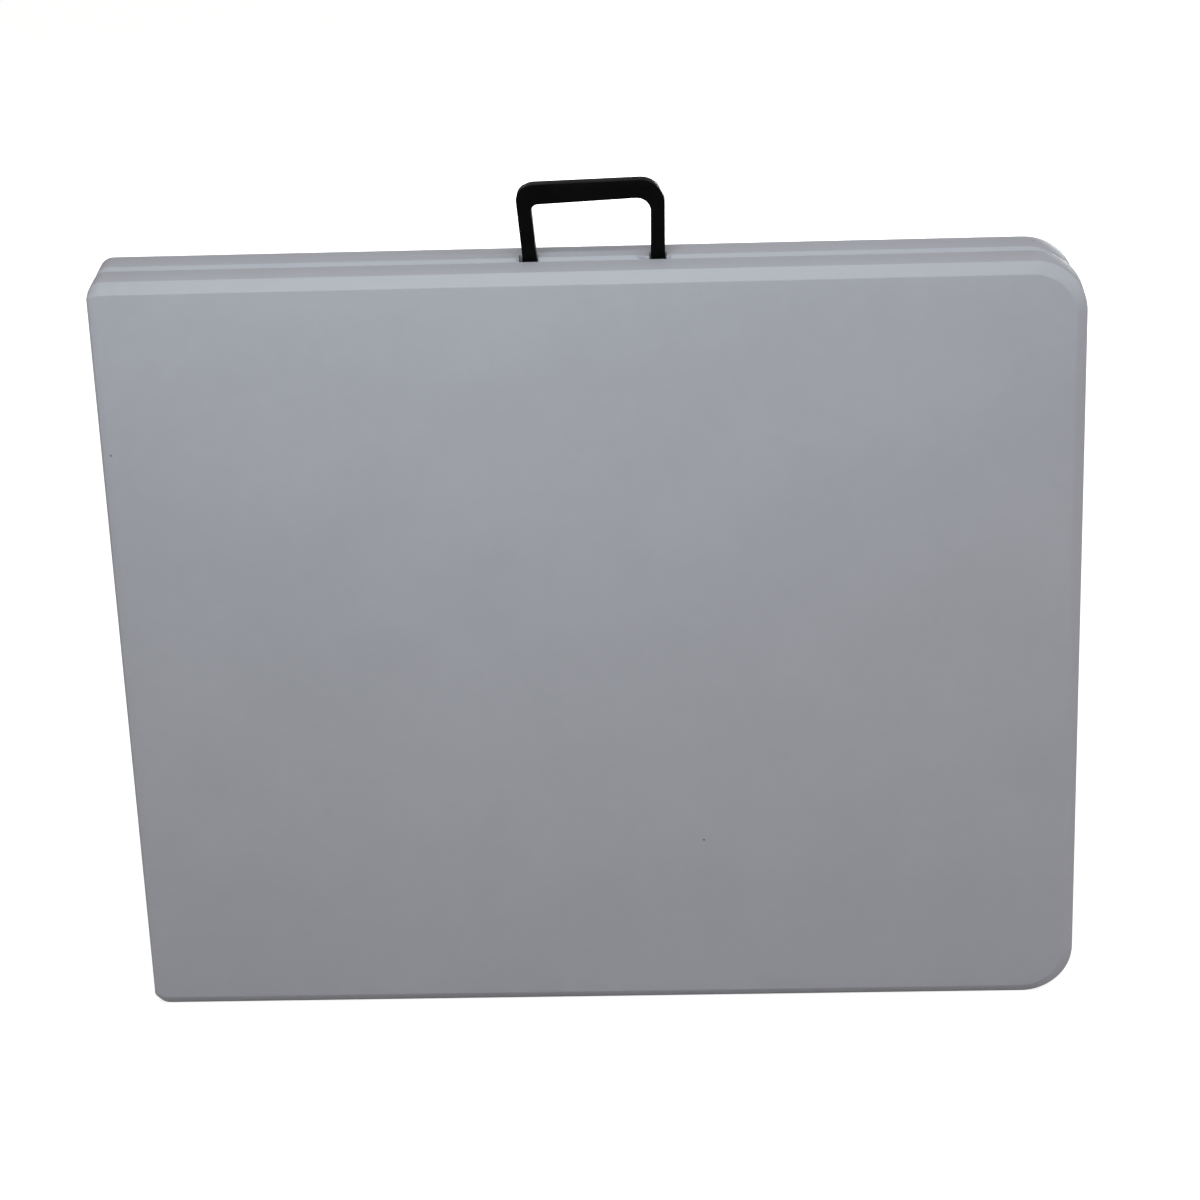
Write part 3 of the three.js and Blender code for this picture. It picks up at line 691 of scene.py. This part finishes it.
def cut_hinge_pockets(piece):
    """Makes room for the leaf, and for the knuckles round the pin."""
    leaf_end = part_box("lower_hinge_back_leaf")[1].x + HINGE_PLAY
    for z0, z1 in hinge_spans():
        z0, z1 = z0 - HINGE_PLAY, z1 + HINGE_PLAY
        low = (PANEL_LOW.x - PAST, -PAST, z0)
        carve(piece, block("pocket", low, (leaf_end, PLATE_FACE + LEAF_THICK + 0.3 * MM, z1)))
        stations = [(0, KNUCKLE_ROOM), (z1 - z0, KNUCKLE_ROOM)]
        carve(piece, turned("notch", (FOLD_X, 0, z0), (0, 0, 1), stations))


def handle_legs():
    """Middle of the handle's left and right leg."""
    low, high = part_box("carry_handle")
    inwards = HANDLE_FLANGE + HANDLE_LEG / 2
    return low.x + inwards, high.x - inwards


def fill_handle_lands(piece):
    """Fills the seam's chamfer beside each handle leg with a flat land that tapers out into it."""
    for x, ends in zip(handle_legs(), LAND_ENDS):
        edge = HANDLE_LEG / 2
        low = (x - edge - ends[0][0], PANEL_LOW.y, TABLE_TOP - LAND_HEIGHT)
        high = (x + edge + ends[1][0], SEAM_CHAMFER + 1 * MM, TABLE_TOP)
        land = block("land", low, high)
        edit(land)
        for sign, (_, taper) in zip((-1, 1), ends):
            pick("VERT", lambda v: v.co.y < 1 * MM and (v.co.x - x) * sign > 0)
            bpy.ops.transform.translate(value=(-sign * taper, 0, 0))
        leave()
        carve(piece, land, "UNION")


def cut_handle_slots(piece):
    """The left slot is longer outwards, because that leg leans and has to slide in."""
    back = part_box("carry_handle")[1].y + SLIDE_PLAY
    for x, room in zip(handle_legs(), (LEAN_ROOM, 0)):
        reach = HANDLE_LEG / 2 + SLOT_PLAY
        low = (x - reach - room, -PAST, TABLE_TOP - RIM - PAST)
        carve(piece, block("slot", low, (x + reach, back, TABLE_TOP + PAST)))


class FOLDING_TABLE_OT_panels(bpy.types.Operator):
    """Models the two moulded halves of the table top"""

    bl_idname = "folding_table.panels"
    bl_label = "Top panels"

    def execute(self, context):
        sizes = context.scene.table_sizes
        for half, side in HALVES:
            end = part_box(f"{half}_top_panel")[1].x
            piece = panel_blank(f"{half}_top_panel_shell", end)
            if half == "back":
                fill_handle_lands(piece)
            soften(piece, sizes.moulded_edge, 3, 12)
            carve(piece, recess_cutter())
            cut_hinge_pockets(piece)
            if half == "back":
                cut_handle_slots(piece)
            soften(piece, sizes.small_edge, 2, 40)
            if side < 0:
                turn_over(piece)
            place(piece, f"{half}_half", "panel_plastic", [f"{half}_top_panel"], smooth=30)
        return {"FINISHED"}


class FOLDING_TABLE_OT_undersides(bpy.types.Operator):
    """Models the dimpled skin under each half of the top"""

    bl_idname = "folding_table.undersides"
    bl_label = "Moulded undersides"

    def execute(self, context):
        sizes = context.scene.table_sizes
        edge = RIM + SKIN_MARGIN
        low = Vector((PANEL_LOW.x + edge, 0, edge))
        high = Vector((PANEL_HIGH.x - edge, 0, TABLE_TOP - edge))
        across = round((high.x - low.x) / sizes.dimple_pitch)
        up = round((high.z - low.z) / sizes.dimple_pitch)
        cell_x, cell_z = (high.x - low.x) / across, (high.z - low.z) / up
        centre = Vector((low.x + cell_x / 2, RECESS_DEPTH, low.z + cell_z / 2))
        deselect()
        bpy.ops.mesh.primitive_plane_add(size=1, location=centre, rotation=(math.pi / 2, 0, 0))
        bpy.context.object.scale = (cell_x, cell_z, 1)
        sheet = settle("back_underside_skin")
        edit(sheet)
        pick_all()
        bpy.ops.mesh.subdivide(number_cuts=5)
        reach = (cell_x / 3 + 1e-5, cell_z / 3 + 1e-5)

        def ring(v):
            gap = v.co - centre
            inside = abs(gap.x) < reach[0] and abs(gap.z) < reach[1]
            return inside and (abs(gap.x) > reach[0] - 2e-5 or abs(gap.z) > reach[1] - 2e-5)

        pick("VERT", ring)
        bpy.ops.transform.tosphere(value=1.0)
        pick("FACE", lambda f: (f.calc_center_median() - centre).length < cell_x * 0.39)
        bpy.ops.mesh.dissolve_faces()
        wall = sizes.dimple_depth - 1.6 * MM
        for width, depth in ((1.2 * MM, 0.6 * MM), (3.4 * MM, wall), (1.6 * MM, 1.0 * MM)):
            inset_picked(width, -depth)
        leave()
        offset = {"use_relative_offset": False, "use_constant_offset": True}
        weld_up = {"use_merge_vertices": True, "merge_threshold": 1e-5}
        for count, step in ((across, (cell_x, 0, 0)), (up, (0, 0, cell_z))):
            modify(sheet, "ARRAY", count=count, constant_offset_displace=step, **offset, **weld_up)
        edit(sheet)
        lands = [middle_of(f"back_side_rail_{end}", "z") for end in ENDS]
        inner = RECESS_DEPTH + 1e-5
        pick("VERT", lambda v: v.co.y > inner and any(abs(v.co.z - z) < RAIL_LAND for z in lands))
        scale_picked((1, 0, 1), (0, RECESS_DEPTH, 0))
        pick("EDGE", lambda e: e.is_boundary)
        push_picked(0, SHELL_DEPTH - RECESS_DEPTH - 0.5 * MM, 0)
        bpy.ops.mesh.edge_face_add()
        right_side_out()
        leave()
        front = turn_over(twin(sheet, "front_underside_skin"))
        for piece, (half, _) in zip((sheet, front), HALVES):
            place(piece, f"{half}_half", "panel_plastic", smooth=60)
        return {"FINISHED"}


# ---- handle


class FOLDING_TABLE_OT_carry_handle(bpy.types.Operator):
    """Models the carry handle and the steel guide that it slides behind"""

    bl_idname = "folding_table.carry_handle"
    bl_label = "Carry handle"

    def execute(self, context):
        sizes = context.scene.table_sizes
        low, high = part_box("carry_handle")
        middle = (low.x + high.x) / 2
        half, leg = (high.x - low.x) / 2 - HANDLE_FLANGE, HANDLE_LEG
        grip = high.z - HANDLE_BAR  # underside of the grip
        piece = block("carry_handle_grip", (middle - half, low.y, low.z), (middle + half, high.y, high.z))
        edit(piece)
        for radius, sign in zip(HANDLE_OUTER_CORNERS, (-1, 1)):
            pick_edges((0, 1, 0), lambda m: m.z > high.z - 1e-5 and (m.x - middle) * sign > half - 1e-5)
            round_picked(radius, 12)
        leave()
        carve(piece, block("foot", low, (high.x, high.y, low.z + HANDLE_FOOT)), "UNION")
        first = (middle - half + leg, low.y - PAST, low.z - PAST)
        window = block("window", first, (middle + half - leg, high.y + PAST, grip))
        edit(window)
        for radius, sign in zip(HANDLE_INNER_CORNERS, (-1, 1)):
            pick_edges((0, 1, 0), lambda m: m.z > low.z and (m.x - middle) * sign > half - leg - 1e-5)
            round_picked(radius, 10)
        leave()
        carve(piece, window)
        edit(piece)
        pick_all()
        bpy.ops.mesh.bisect(plane_co=(0, 0, TABLE_TOP + 2 * MM), plane_no=(0, 0, 1))
        top = high.z - 35 * MM  # all the corners lie above this

        def lean(where, along, up=0.0):
            pick("VERT", lambda v: v.co.z > top and where(v.co))
            bpy.ops.transform.translate(value=(along, 0, up))

        pick("VERT", lambda v: v.co.z > top)
        wider = 1 + 2 * sizes.handle_flare / (2 * half)
        scale_picked((wider, 1, 1), (middle, 0, 0))
        corner = (middle + half - 12 * MM, 0, high.z)
        sag = math.radians(sizes.handle_sag)
        bpy.ops.transform.rotate(value=sag, orient_axis="Y", center_override=corner)
        lean(lambda co: co.x < middle, -1.8 * MM)
        lean(lambda co: co.x < middle - half + 4 * MM, -1.0 * MM)
        lean(lambda co: co.x > middle, -0.8 * MM)
        inside = middle - half + leg - 3 * MM
        lean(lambda co: inside < co.x < middle and co.z < grip + 1 * MM, -0.6 * MM, -1.8 * MM)
        leave()
        soften(piece, sizes.handle_edge, 4, 35)
        place(piece, "carry_handle", "handle_plastic", ["carry_handle"])
        guide = refined("handle_guide", "handle_guide_plate", 0.5 * MM)
        countersink(guide, guide_screw_places(), 1, GUIDE_THICK)
        place(guide, "back_half", "zinc_steel", ["handle_guide"], smooth=20)
        return {"FINISHED"}


# ---- leg frames


def weld(centre, direction, radius, size, seed):
    """A rippled bead round a tube."""
    turn = Vector(direction).to_track_quat("Z", "Y").to_euler()
    radii = {"major_radius": radius, "minor_radius": size}
    deselect()
    bpy.ops.mesh.primitive_torus_add(
        major_segments=40, minor_segments=8, location=centre, rotation=turn, **radii
    )
    bead = settle("bead")
    edit(bead)
    pick_all()
    bpy.ops.transform.vertex_random(offset=size * 0.22, uniform=0.3, normal=1.0, seed=seed)
    leave()
    return bead


class FOLDING_TABLE_OT_side_rails(bpy.types.Operator):
    """Models the four square rails under the top"""

    bl_idname = "folding_table.side_rails"
    bl_label = "Side rails"

    def execute(self, context):
        for half, _ in HALVES:
            for end in ENDS:
                node = f"{half}_side_rail_{end}"
                low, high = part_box(node)
                piece = block(f"{node}_tube", low, high)
                edit(piece)
                pick_edges((1, 0, 0))
                round_picked(2.6 * MM, 5)
                pick("FACE", faces_along_x)
                bpy.ops.mesh.inset(thickness=RAIL_WALL, use_individual=True)
                centre = (low + high) / 2
                for sign in (-1, 1):
                    pick_faces((sign, 0, 0), lambda c: (c - centre).yz.length < 1 * MM)
                    push_picked(-sign * 40 * MM, 0, 0)
                right_side_out(1e-7)
                leave()
                soften(piece, 0.3 * MM, 1, 50)
                place(piece, f"{half}_half", "powder_coat", [node])
        return {"FINISHED"}


class FOLDING_TABLE_OT_leg_frames(bpy.types.Operator):
    """Models the legs, their pivot tubes and cross bars, and the foot caps"""

    bl_idname = "folding_table.leg_frames"
    bl_label = "Leg frames"

    def execute(self, context):
        bead = context.scene.table_sizes.weld
        for half, side in HALVES:
            body = f"{half}_half"
            y = side * TUBE_DEPTH
            low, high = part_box(f"{half}_leg_pivot_tube")
            pivot_x = (low.x + high.x) / 2
            stations = tube_stations(high.z - low.z, LEG_RADIUS)
            pivot = turned(f"{half}_leg_pivot_tube_steel", (pivot_x, y, low.z), (0, 0, 1), stations, 40)
            low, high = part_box(f"{half}_leg_cross_bar")
            bar_x = (low.x + high.x) / 2
            into = 3 * MM
            stations = tube_stations(high.z - low.z + 2 * into, BAR_RADIUS)
            bar = turned(f"{half}_leg_cross_bar_steel", (bar_x, y, low.z - into), (0, 0, 1), stations, 36)
            for number, (end, sign) in enumerate(zip(ENDS, (1, -1))):
                node = f"{half}_leg_{end}"
                low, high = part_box(node)
                z = (low.z + high.z) / 2
                reach = pivot_x - low.x - 1 * MM
                stations = tube_stations(reach, LEG_RADIUS)
                leg = turned(f"{node}_steel", (low.x, y, z), (1, 0, 0), stations, 40)
                start = (high.x + 1.4 * MM, y, z)
                merge(leg, weld(start, (1, 0, 0), LEG_RADIUS - 0.8 * MM, bead, 3 + number))
                start = (bar_x, y, z + sign * (LEG_RADIUS - 0.4 * MM))
                merge(bar, weld(start, (0, 0, 1), BAR_RADIUS - 0.4 * MM, bead, 7 + number))
                place(leg, body, "powder_coat", [node])
                node = f"{half}_foot_cap_{end}"
                low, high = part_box(node)
                long, outer, bore = high.x - low.x, (high.z - low.z) / 2, 11.3 * MM
                stations = [(x * MM, outer - inset * MM) for x, inset in CAP_TIP]
                for at in (9 * MM, 14 * MM, 19 * MM):
                    stations += [(at + x * MM, outer - inset * MM) for x, inset in CAP_GROOVE]
                stations += [(long - 0.5 * MM, outer), (long, outer - 0.4 * MM), (long, bore + 0.2 * MM)]
                stations += [(long - 0.3 * MM, bore), (4 * MM, bore)]
                cap = turned(f"{node}_rubber", (low.x, y, z), (1, 0, 0), stations, 40)
                place(cap, body, "black_plastic", [node])
            place(pivot, body, "powder_coat", [f"{half}_leg_pivot_tube"])
            place(bar, body, "powder_coat", [f"{half}_leg_cross_bar"])
        return {"FINISHED"}


class FOLDING_TABLE_OT_saddles_and_clips(bpy.types.Operator):
    """Models the saddles that the legs turn in and the clips that hold them stowed"""

    bl_idname = "folding_table.saddles_and_clips"
    bl_label = "Saddles and clips"

    def execute(self, context):
        for half, _ in HALVES:
            for end in ENDS:
                for kind, radius in (("leg_saddle", 0.8 * MM), ("leg_clip", 0.5 * MM)):
                    node = f"{half}_{kind}_{end}"
                    piece = refined(node, f"{node}_moulding", radius, 3, 40)
                    place(piece, f"{half}_half", "black_plastic", [node], smooth=40)
        return {"FINISHED"}


def hinge_screw_places(end):
    """Where the five countersunk screws of a back leaf sit."""
    low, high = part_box(f"{end}_hinge_back_leaf")
    near, far, edge = high.x - 40 * MM, high.x - 13 * MM, 12 * MM
    corners = [(x, z) for x in (near, far) for z in (low.z + edge, high.z - edge)]
    return corners + [((near + far) / 2, (low.z + high.z) / 2)]


def guide_screw_places():
    low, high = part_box("handle_guide")
    return [(x, z) for x in (low.x + 6 * MM, high.x - 6 * MM) for z in (low.z + 9 * MM, high.z - 9 * MM)]


def countersink(piece, places, side, thick):
    """Cuts a conical hole for each screw into a plate that faces the parting plane."""
    for x, z in places:
        stations = [(-1 * MM, SCREW_SEAT), (0.4 * MM, SCREW_SEAT), (thick + 1 * MM, 1.2 * MM)]
        carve(piece, turned("hole", (x, side * PLATE_FACE, z), (0, side, 0), stations, 24))


def spread_copies(piece, places, start):
    """Copies a small part, modelled at the first place, to all the others within one mesh."""
    reach = 12 * MM
    for place_at in places[1:]:
        edit(piece)
        pick("VERT", lambda v: (v.co - start).length < reach)
        bpy.ops.mesh.duplicate_move(TRANSFORM_OT_translate={"value": Vector(place_at) - start})
        leave()
    return piece


class FOLDING_TABLE_OT_braces(bpy.types.Operator):
    """Models the folding braces: link, arms, bracket, pins and lock ring"""

    bl_idname = "folding_table.braces"
    bl_label = "Folding braces"

    def execute(self, context):
        for half, side in HALVES:
            body = f"{half}_half"
            y = side * TUBE_DEPTH
            node = f"{half}_brace_link"
            low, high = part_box(node)
            radius = (high.z - low.z) / 2
            stations = tube_stations(high.x - low.x, radius)
            link = turned(f"{node}_steel", (low.x, y, MIDDLE), (1, 0, 0), stations, 36)
            place(link, body, "powder_coat", [node])
            for end in ENDS:
                node = f"{half}_brace_arm_{end}"
                place(refined(node, f"{node}_steel", 0.8 * MM), body, "powder_coat", [node])
            node = f"{half}_brace_bracket"
            place(refined(node, f"{node}_plate", 0.5 * MM), body, "zinc_steel", [node])
            for kind in ("brace_bracket_pin", "brace_knee_pin"):
                node = f"{half}_{kind}"
                low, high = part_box(node)
                long, shank, head, thick = high.z - low.z, 4 * MM, (high.x - low.x) / 2, 2.5 * MM
                dome = [(0, 2.2 * MM), (0, 3.2 * MM), (0.5 * MM, head - 0.7 * MM), (1.3 * MM, head)]
                stations = both_ends(dome + [(thick, head), (thick, shank)], long)
                pin = turned(f"{node}_rivet", ((low.x + high.x) / 2, y, low.z), (0, 0, 1), stations, 28)
                place(pin, body, "zinc_steel", [node])
            node = f"{half}_brace_lock_ring"
            low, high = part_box(node)
            ring = block(f"{node}_sleeve", low, high)
            edit(ring)
            pick_edges((1, 0, 0))
            round_picked(5 * MM, 6)
            pick("FACE", faces_along_x)
            bpy.ops.mesh.inset(thickness=2.2 * MM, use_individual=True)
            centre = (low + high) / 2
            pick("FACE", lambda f: faces_along_x(f) and (f.calc_center_median() - centre).yz.length < 1 * MM)
            bpy.ops.mesh.bridge_edge_loops()
            right_side_out()
            leave()
            soften(ring, 0.5 * MM, 2, 50)
            place(ring, f"{half}_lock_ring", "zinc_steel", [node])
        return {"FINISHED"}


class FOLDING_TABLE_OT_hinges(bpy.types.Operator):
    """Models the two fold hinges and their pins"""

    bl_idname = "folding_table.hinges"
    bl_label = "Fold hinges"

    def execute(self, context):
        for end in ENDS:
            for half, side in HALVES:
                node = f"{end}_hinge_{half}_leaf"
                leaf = refined(node, f"{node}_plate", 0.3 * MM, 2, 40)
                countersink(leaf, hinge_screw_places(end), side, LEAF_THICK)
                place(leaf, f"{half}_half", "zinc_steel", [node], smooth=22)
            node = f"{end}_hinge_pin"
            low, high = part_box(node)
            radius, long = (high.x - low.x) / 2, high.z - low.z
            stations = [(0, radius - 0.8 * MM), (0.3 * MM, radius - 0.2 * MM), (0.8 * MM, radius)]
            stations = both_ends(stations, long)
            pin = turned(f"{node}_rod", (FOLD_X, 0, low.z), (0, 0, 1), stations, 28)
            place(pin, "back_half", "zinc_steel", [node])
        return {"FINISHED"}


class FOLDING_TABLE_OT_catch(bpy.types.Operator):
    """Models the friction catch inside the outer ends"""

    bl_idname = "folding_table.catch"
    bl_label = "Catch"

    def execute(self, context):
        for node, body in (("catch_tongue", "front_half"), ("catch_clip", "back_half")):
            place(refined(node, f"{node}_moulding", 0.5 * MM), body, "black_plastic", [node])
        return {"FINISHED"}


class FOLDING_TABLE_OT_screws(bpy.types.Operator):
    """Models one pan-head screw and copies it to every place that needs one"""

    bl_idname = "folding_table.screws"
    bl_label = "Screws"

    def execute(self, context):
        head = context.scene.table_sizes.screw_head
        for half, side in HALVES:
            places = []
            for end in ENDS:
                low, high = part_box(f"{half}_side_rail_{end}")
                z = (low.z + high.z) / 2
                top = min(abs(low.y), abs(high.y))
                places += [(low.x + share * (high.x - low.x), top, z) for share in RAIL_SCREWS]
                low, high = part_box(f"{half}_leg_saddle_{end}")
                z = (low.z + high.z) / 2
                foot = FLOOR_DEPTH - 4 * MM
                places += [(x, foot, z) for x in (low.x + 7 * MM, high.x - 7 * MM)]
            low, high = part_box(f"{half}_brace_bracket")
            foot = FLOOR_DEPTH - 2.5 * MM
            for x in (low.x + 9 * MM, high.x - 9 * MM):
                places += [(x, foot, z) for z in (low.z + 7 * MM, high.z - 7 * MM)]
            start = Vector((places[0][0], side * places[0][1], places[0][2]))
            stations = [(-1 * MM, head), (0.9 * MM, head), (1.6 * MM, head * 0.86), (2.1 * MM, head * 0.55)]
            stations += [(2.1 * MM, head * 0.45), (1.2 * MM, head * 0.3)]
            screws = turned(f"{half}_screws", start, (0, -side, 0), stations, 16)
            spread_copies(screws, [(x, side * depth, z) for x, depth, z in places], start)
            place(screws, f"{half}_half", "zinc_steel")
            sunk = [spot for end in ENDS for spot in hinge_screw_places(end)]
            sunk += guide_screw_places() if half == "back" else []
            sunk = [Vector((x, side * PLATE_FACE, z)) for x, z in sunk]
            stations = [(1.3 * MM, 0.9 * MM), (1.3 * MM, 1.5 * MM), (0.2 * MM, 2.2 * MM)]
            stations += [(0.15 * MM, SCREW_SEAT - 0.9 * MM), (0.4 * MM, SCREW_SEAT - 0.5 * MM)]
            stations += [(1.7 * MM, 2.4 * MM), (2.4 * MM, 1.6 * MM)]
            flush = turned(f"{half}_hinge_screws", sunk[0], (0, side, 0), stations, 18)
            place(spread_copies(flush, sunk, sunk[0]), f"{half}_half", "zinc_steel")
        return {"FINISHED"}


# ---- stage


CAMERA_PLACE = (0.1385, -2.993, 1.7326)
CAMERA_TURN = (66.2695, 1.9459, 1.719)  # degrees
CAMERA_LENS = 102.19
SKY_LIGHT = 0.4
LIGHTS = (  # name, place, aim, width and height, watts, tint
    ("Key softbox", (-0.22, -1.0, 1.45), (-0.2, 0.0, 0.6), (1.5, 0.4), 11.4, (0.86, 1.0, 1.0)),
    ("Overhead strip", (0.15, -0.62, 2.5), (0.15, 0.0, 0.76), (1.0, 0.16), 8.2, (0.94, 0.98, 1.0)),
    ("Side fill", (2.8, -0.7, 1.7), (0.3, 0.0, 0.5), (1.0, 1.0), 20.5, (0.93, 0.97, 1.0)),
    ("Back fill", (0.4, 3.2, 0.42), (0.0, 0.0, 0.42), (2.0, 0.5), 48.0, (0.92, 1.0, 1.0)),
)


def area_light(name, place_at, aim, size, power, tint):
    deselect()
    bpy.ops.object.light_add(type="AREA", location=place_at)
    light = bpy.context.object
    light.name = light.data.name = name
    light.rotation_euler = (Vector(aim) - Vector(place_at)).to_track_quat("-Z", "Y").to_euler()
    light.data.shape = "RECTANGLE"
    light.data.size, light.data.size_y = size
    light.data.energy = power
    light.data.color = tint
    light.visible_camera = False


class FOLDING_TABLE_OT_stage(bpy.types.Operator):
    """Sets up the camera, the plain floor and the soft lights"""

    bl_idname = "folding_table.stage"
    bl_label = "Stage"

    def execute(self, context):
        scene = context.scene
        deselect()
        turn = [math.radians(angle) for angle in CAMERA_TURN]
        bpy.ops.object.camera_add(location=CAMERA_PLACE, rotation=turn)
        camera = bpy.context.object
        camera.data.lens, camera.data.sensor_width = CAMERA_LENS, 36.0
        scene.camera = camera
        scene.view_settings.view_transform = "Standard"

        world = bpy.data.worlds.new("Studio")
        scene.world = world
        world.use_nodes = True
        sky = world.node_tree
        seen = add_node(sky, "ShaderNodeLightPath").outputs["Is Camera Ray"]
        tint = mix_colour(sky, seen, (1.0, 0.93, 0.935, 1.0), (1.0, 1.0, 1.0, 1.0))
        strength = spread(sky, seen, 0.0, 1.0, SKY_LIGHT, 1.0)
        set_inputs(sky, sky.nodes["Background"], {"Color": tint, "Strength": strength})
        for light in LIGHTS:
            area_light(*light)

        deselect()
        bpy.ops.mesh.primitive_circle_add(vertices=96, radius=30.0, fill_type="NGON")
        floor = settle("studio_floor")
        edit(floor)
        pick_all()
        inset_picked(20.0)
        leave()
        material, tree, shader, where = new_finish("Studio floor")
        tint = tuple(scene.table_colours.floor)
        cloud = use(tree, "Mottle", where, Size=1.5)
        tone = mix_colour(tree, cloud, shade(tint, 0.985), shade(tint, 1.0))
        inputs = {"Base Color": tone, "Roughness": 0.9, "Specular IOR Level": 0.1}
        seen = add_node(tree, "ShaderNodeLightPath").outputs["Is Camera Ray"]
        glow = {"Emission Color": (1.0, 1.0, 1.0, 1.0), "Emission Strength": multiply(tree, seen, 0.75)}
        set_inputs(tree, shader, {**inputs, **glow})
        floor.data.materials.append(material)
        return {"FINISHED"}


# ---- add-on


OPERATORS = (
    FOLDING_TABLE_OT_stage,
    FOLDING_TABLE_OT_panels,
    FOLDING_TABLE_OT_undersides,
    FOLDING_TABLE_OT_carry_handle,
    FOLDING_TABLE_OT_side_rails,
    FOLDING_TABLE_OT_leg_frames,
    FOLDING_TABLE_OT_saddles_and_clips,
    FOLDING_TABLE_OT_braces,
    FOLDING_TABLE_OT_hinges,
    FOLDING_TABLE_OT_catch,
    FOLDING_TABLE_OT_screws,
)


class FOLDING_TABLE_PT_sidebar(bpy.types.Panel):
    """Lists the table's sizes, colours and pieces"""

    bl_idname = "FOLDING_TABLE_PT_sidebar"
    bl_label = "Folding table"
    bl_space_type = "VIEW_3D"
    bl_region_type = "UI"
    bl_category = "Folding table"

    def draw(self, context):
        layout = self.layout
        for group in (context.scene.table_sizes, context.scene.table_colours):
            column = layout.column(align=True)
            for key in group.__annotations__:
                column.prop(group, key)
        column = layout.column(align=True)
        for operator in OPERATORS:
            column.operator(operator.bl_idname)


CLASSES = (TableSizes, TableColours, *OPERATORS, FOLDING_TABLE_PT_sidebar)


def register():
    for each in CLASSES:
        bpy.utils.register_class(each)
    bpy.types.Scene.table_sizes = bpy.props.PointerProperty(type=TableSizes)
    bpy.types.Scene.table_colours = bpy.props.PointerProperty(type=TableColours)


def unregister():
    del bpy.types.Scene.table_sizes
    del bpy.types.Scene.table_colours
    for each in reversed(CLASSES):
        bpy.utils.unregister_class(each)


def main():
    register()
    bpy.ops.folding_table.stage()
    bpy.ops.folding_table.panels()
    bpy.ops.folding_table.undersides()
    bpy.ops.folding_table.carry_handle()
    bpy.ops.folding_table.side_rails()
    bpy.ops.folding_table.leg_frames()
    bpy.ops.folding_table.saddles_and_clips()
    bpy.ops.folding_table.braces()
    bpy.ops.folding_table.hinges()
    bpy.ops.folding_table.catch()
    bpy.ops.folding_table.screws()


if __name__ == "__main__":
    main()
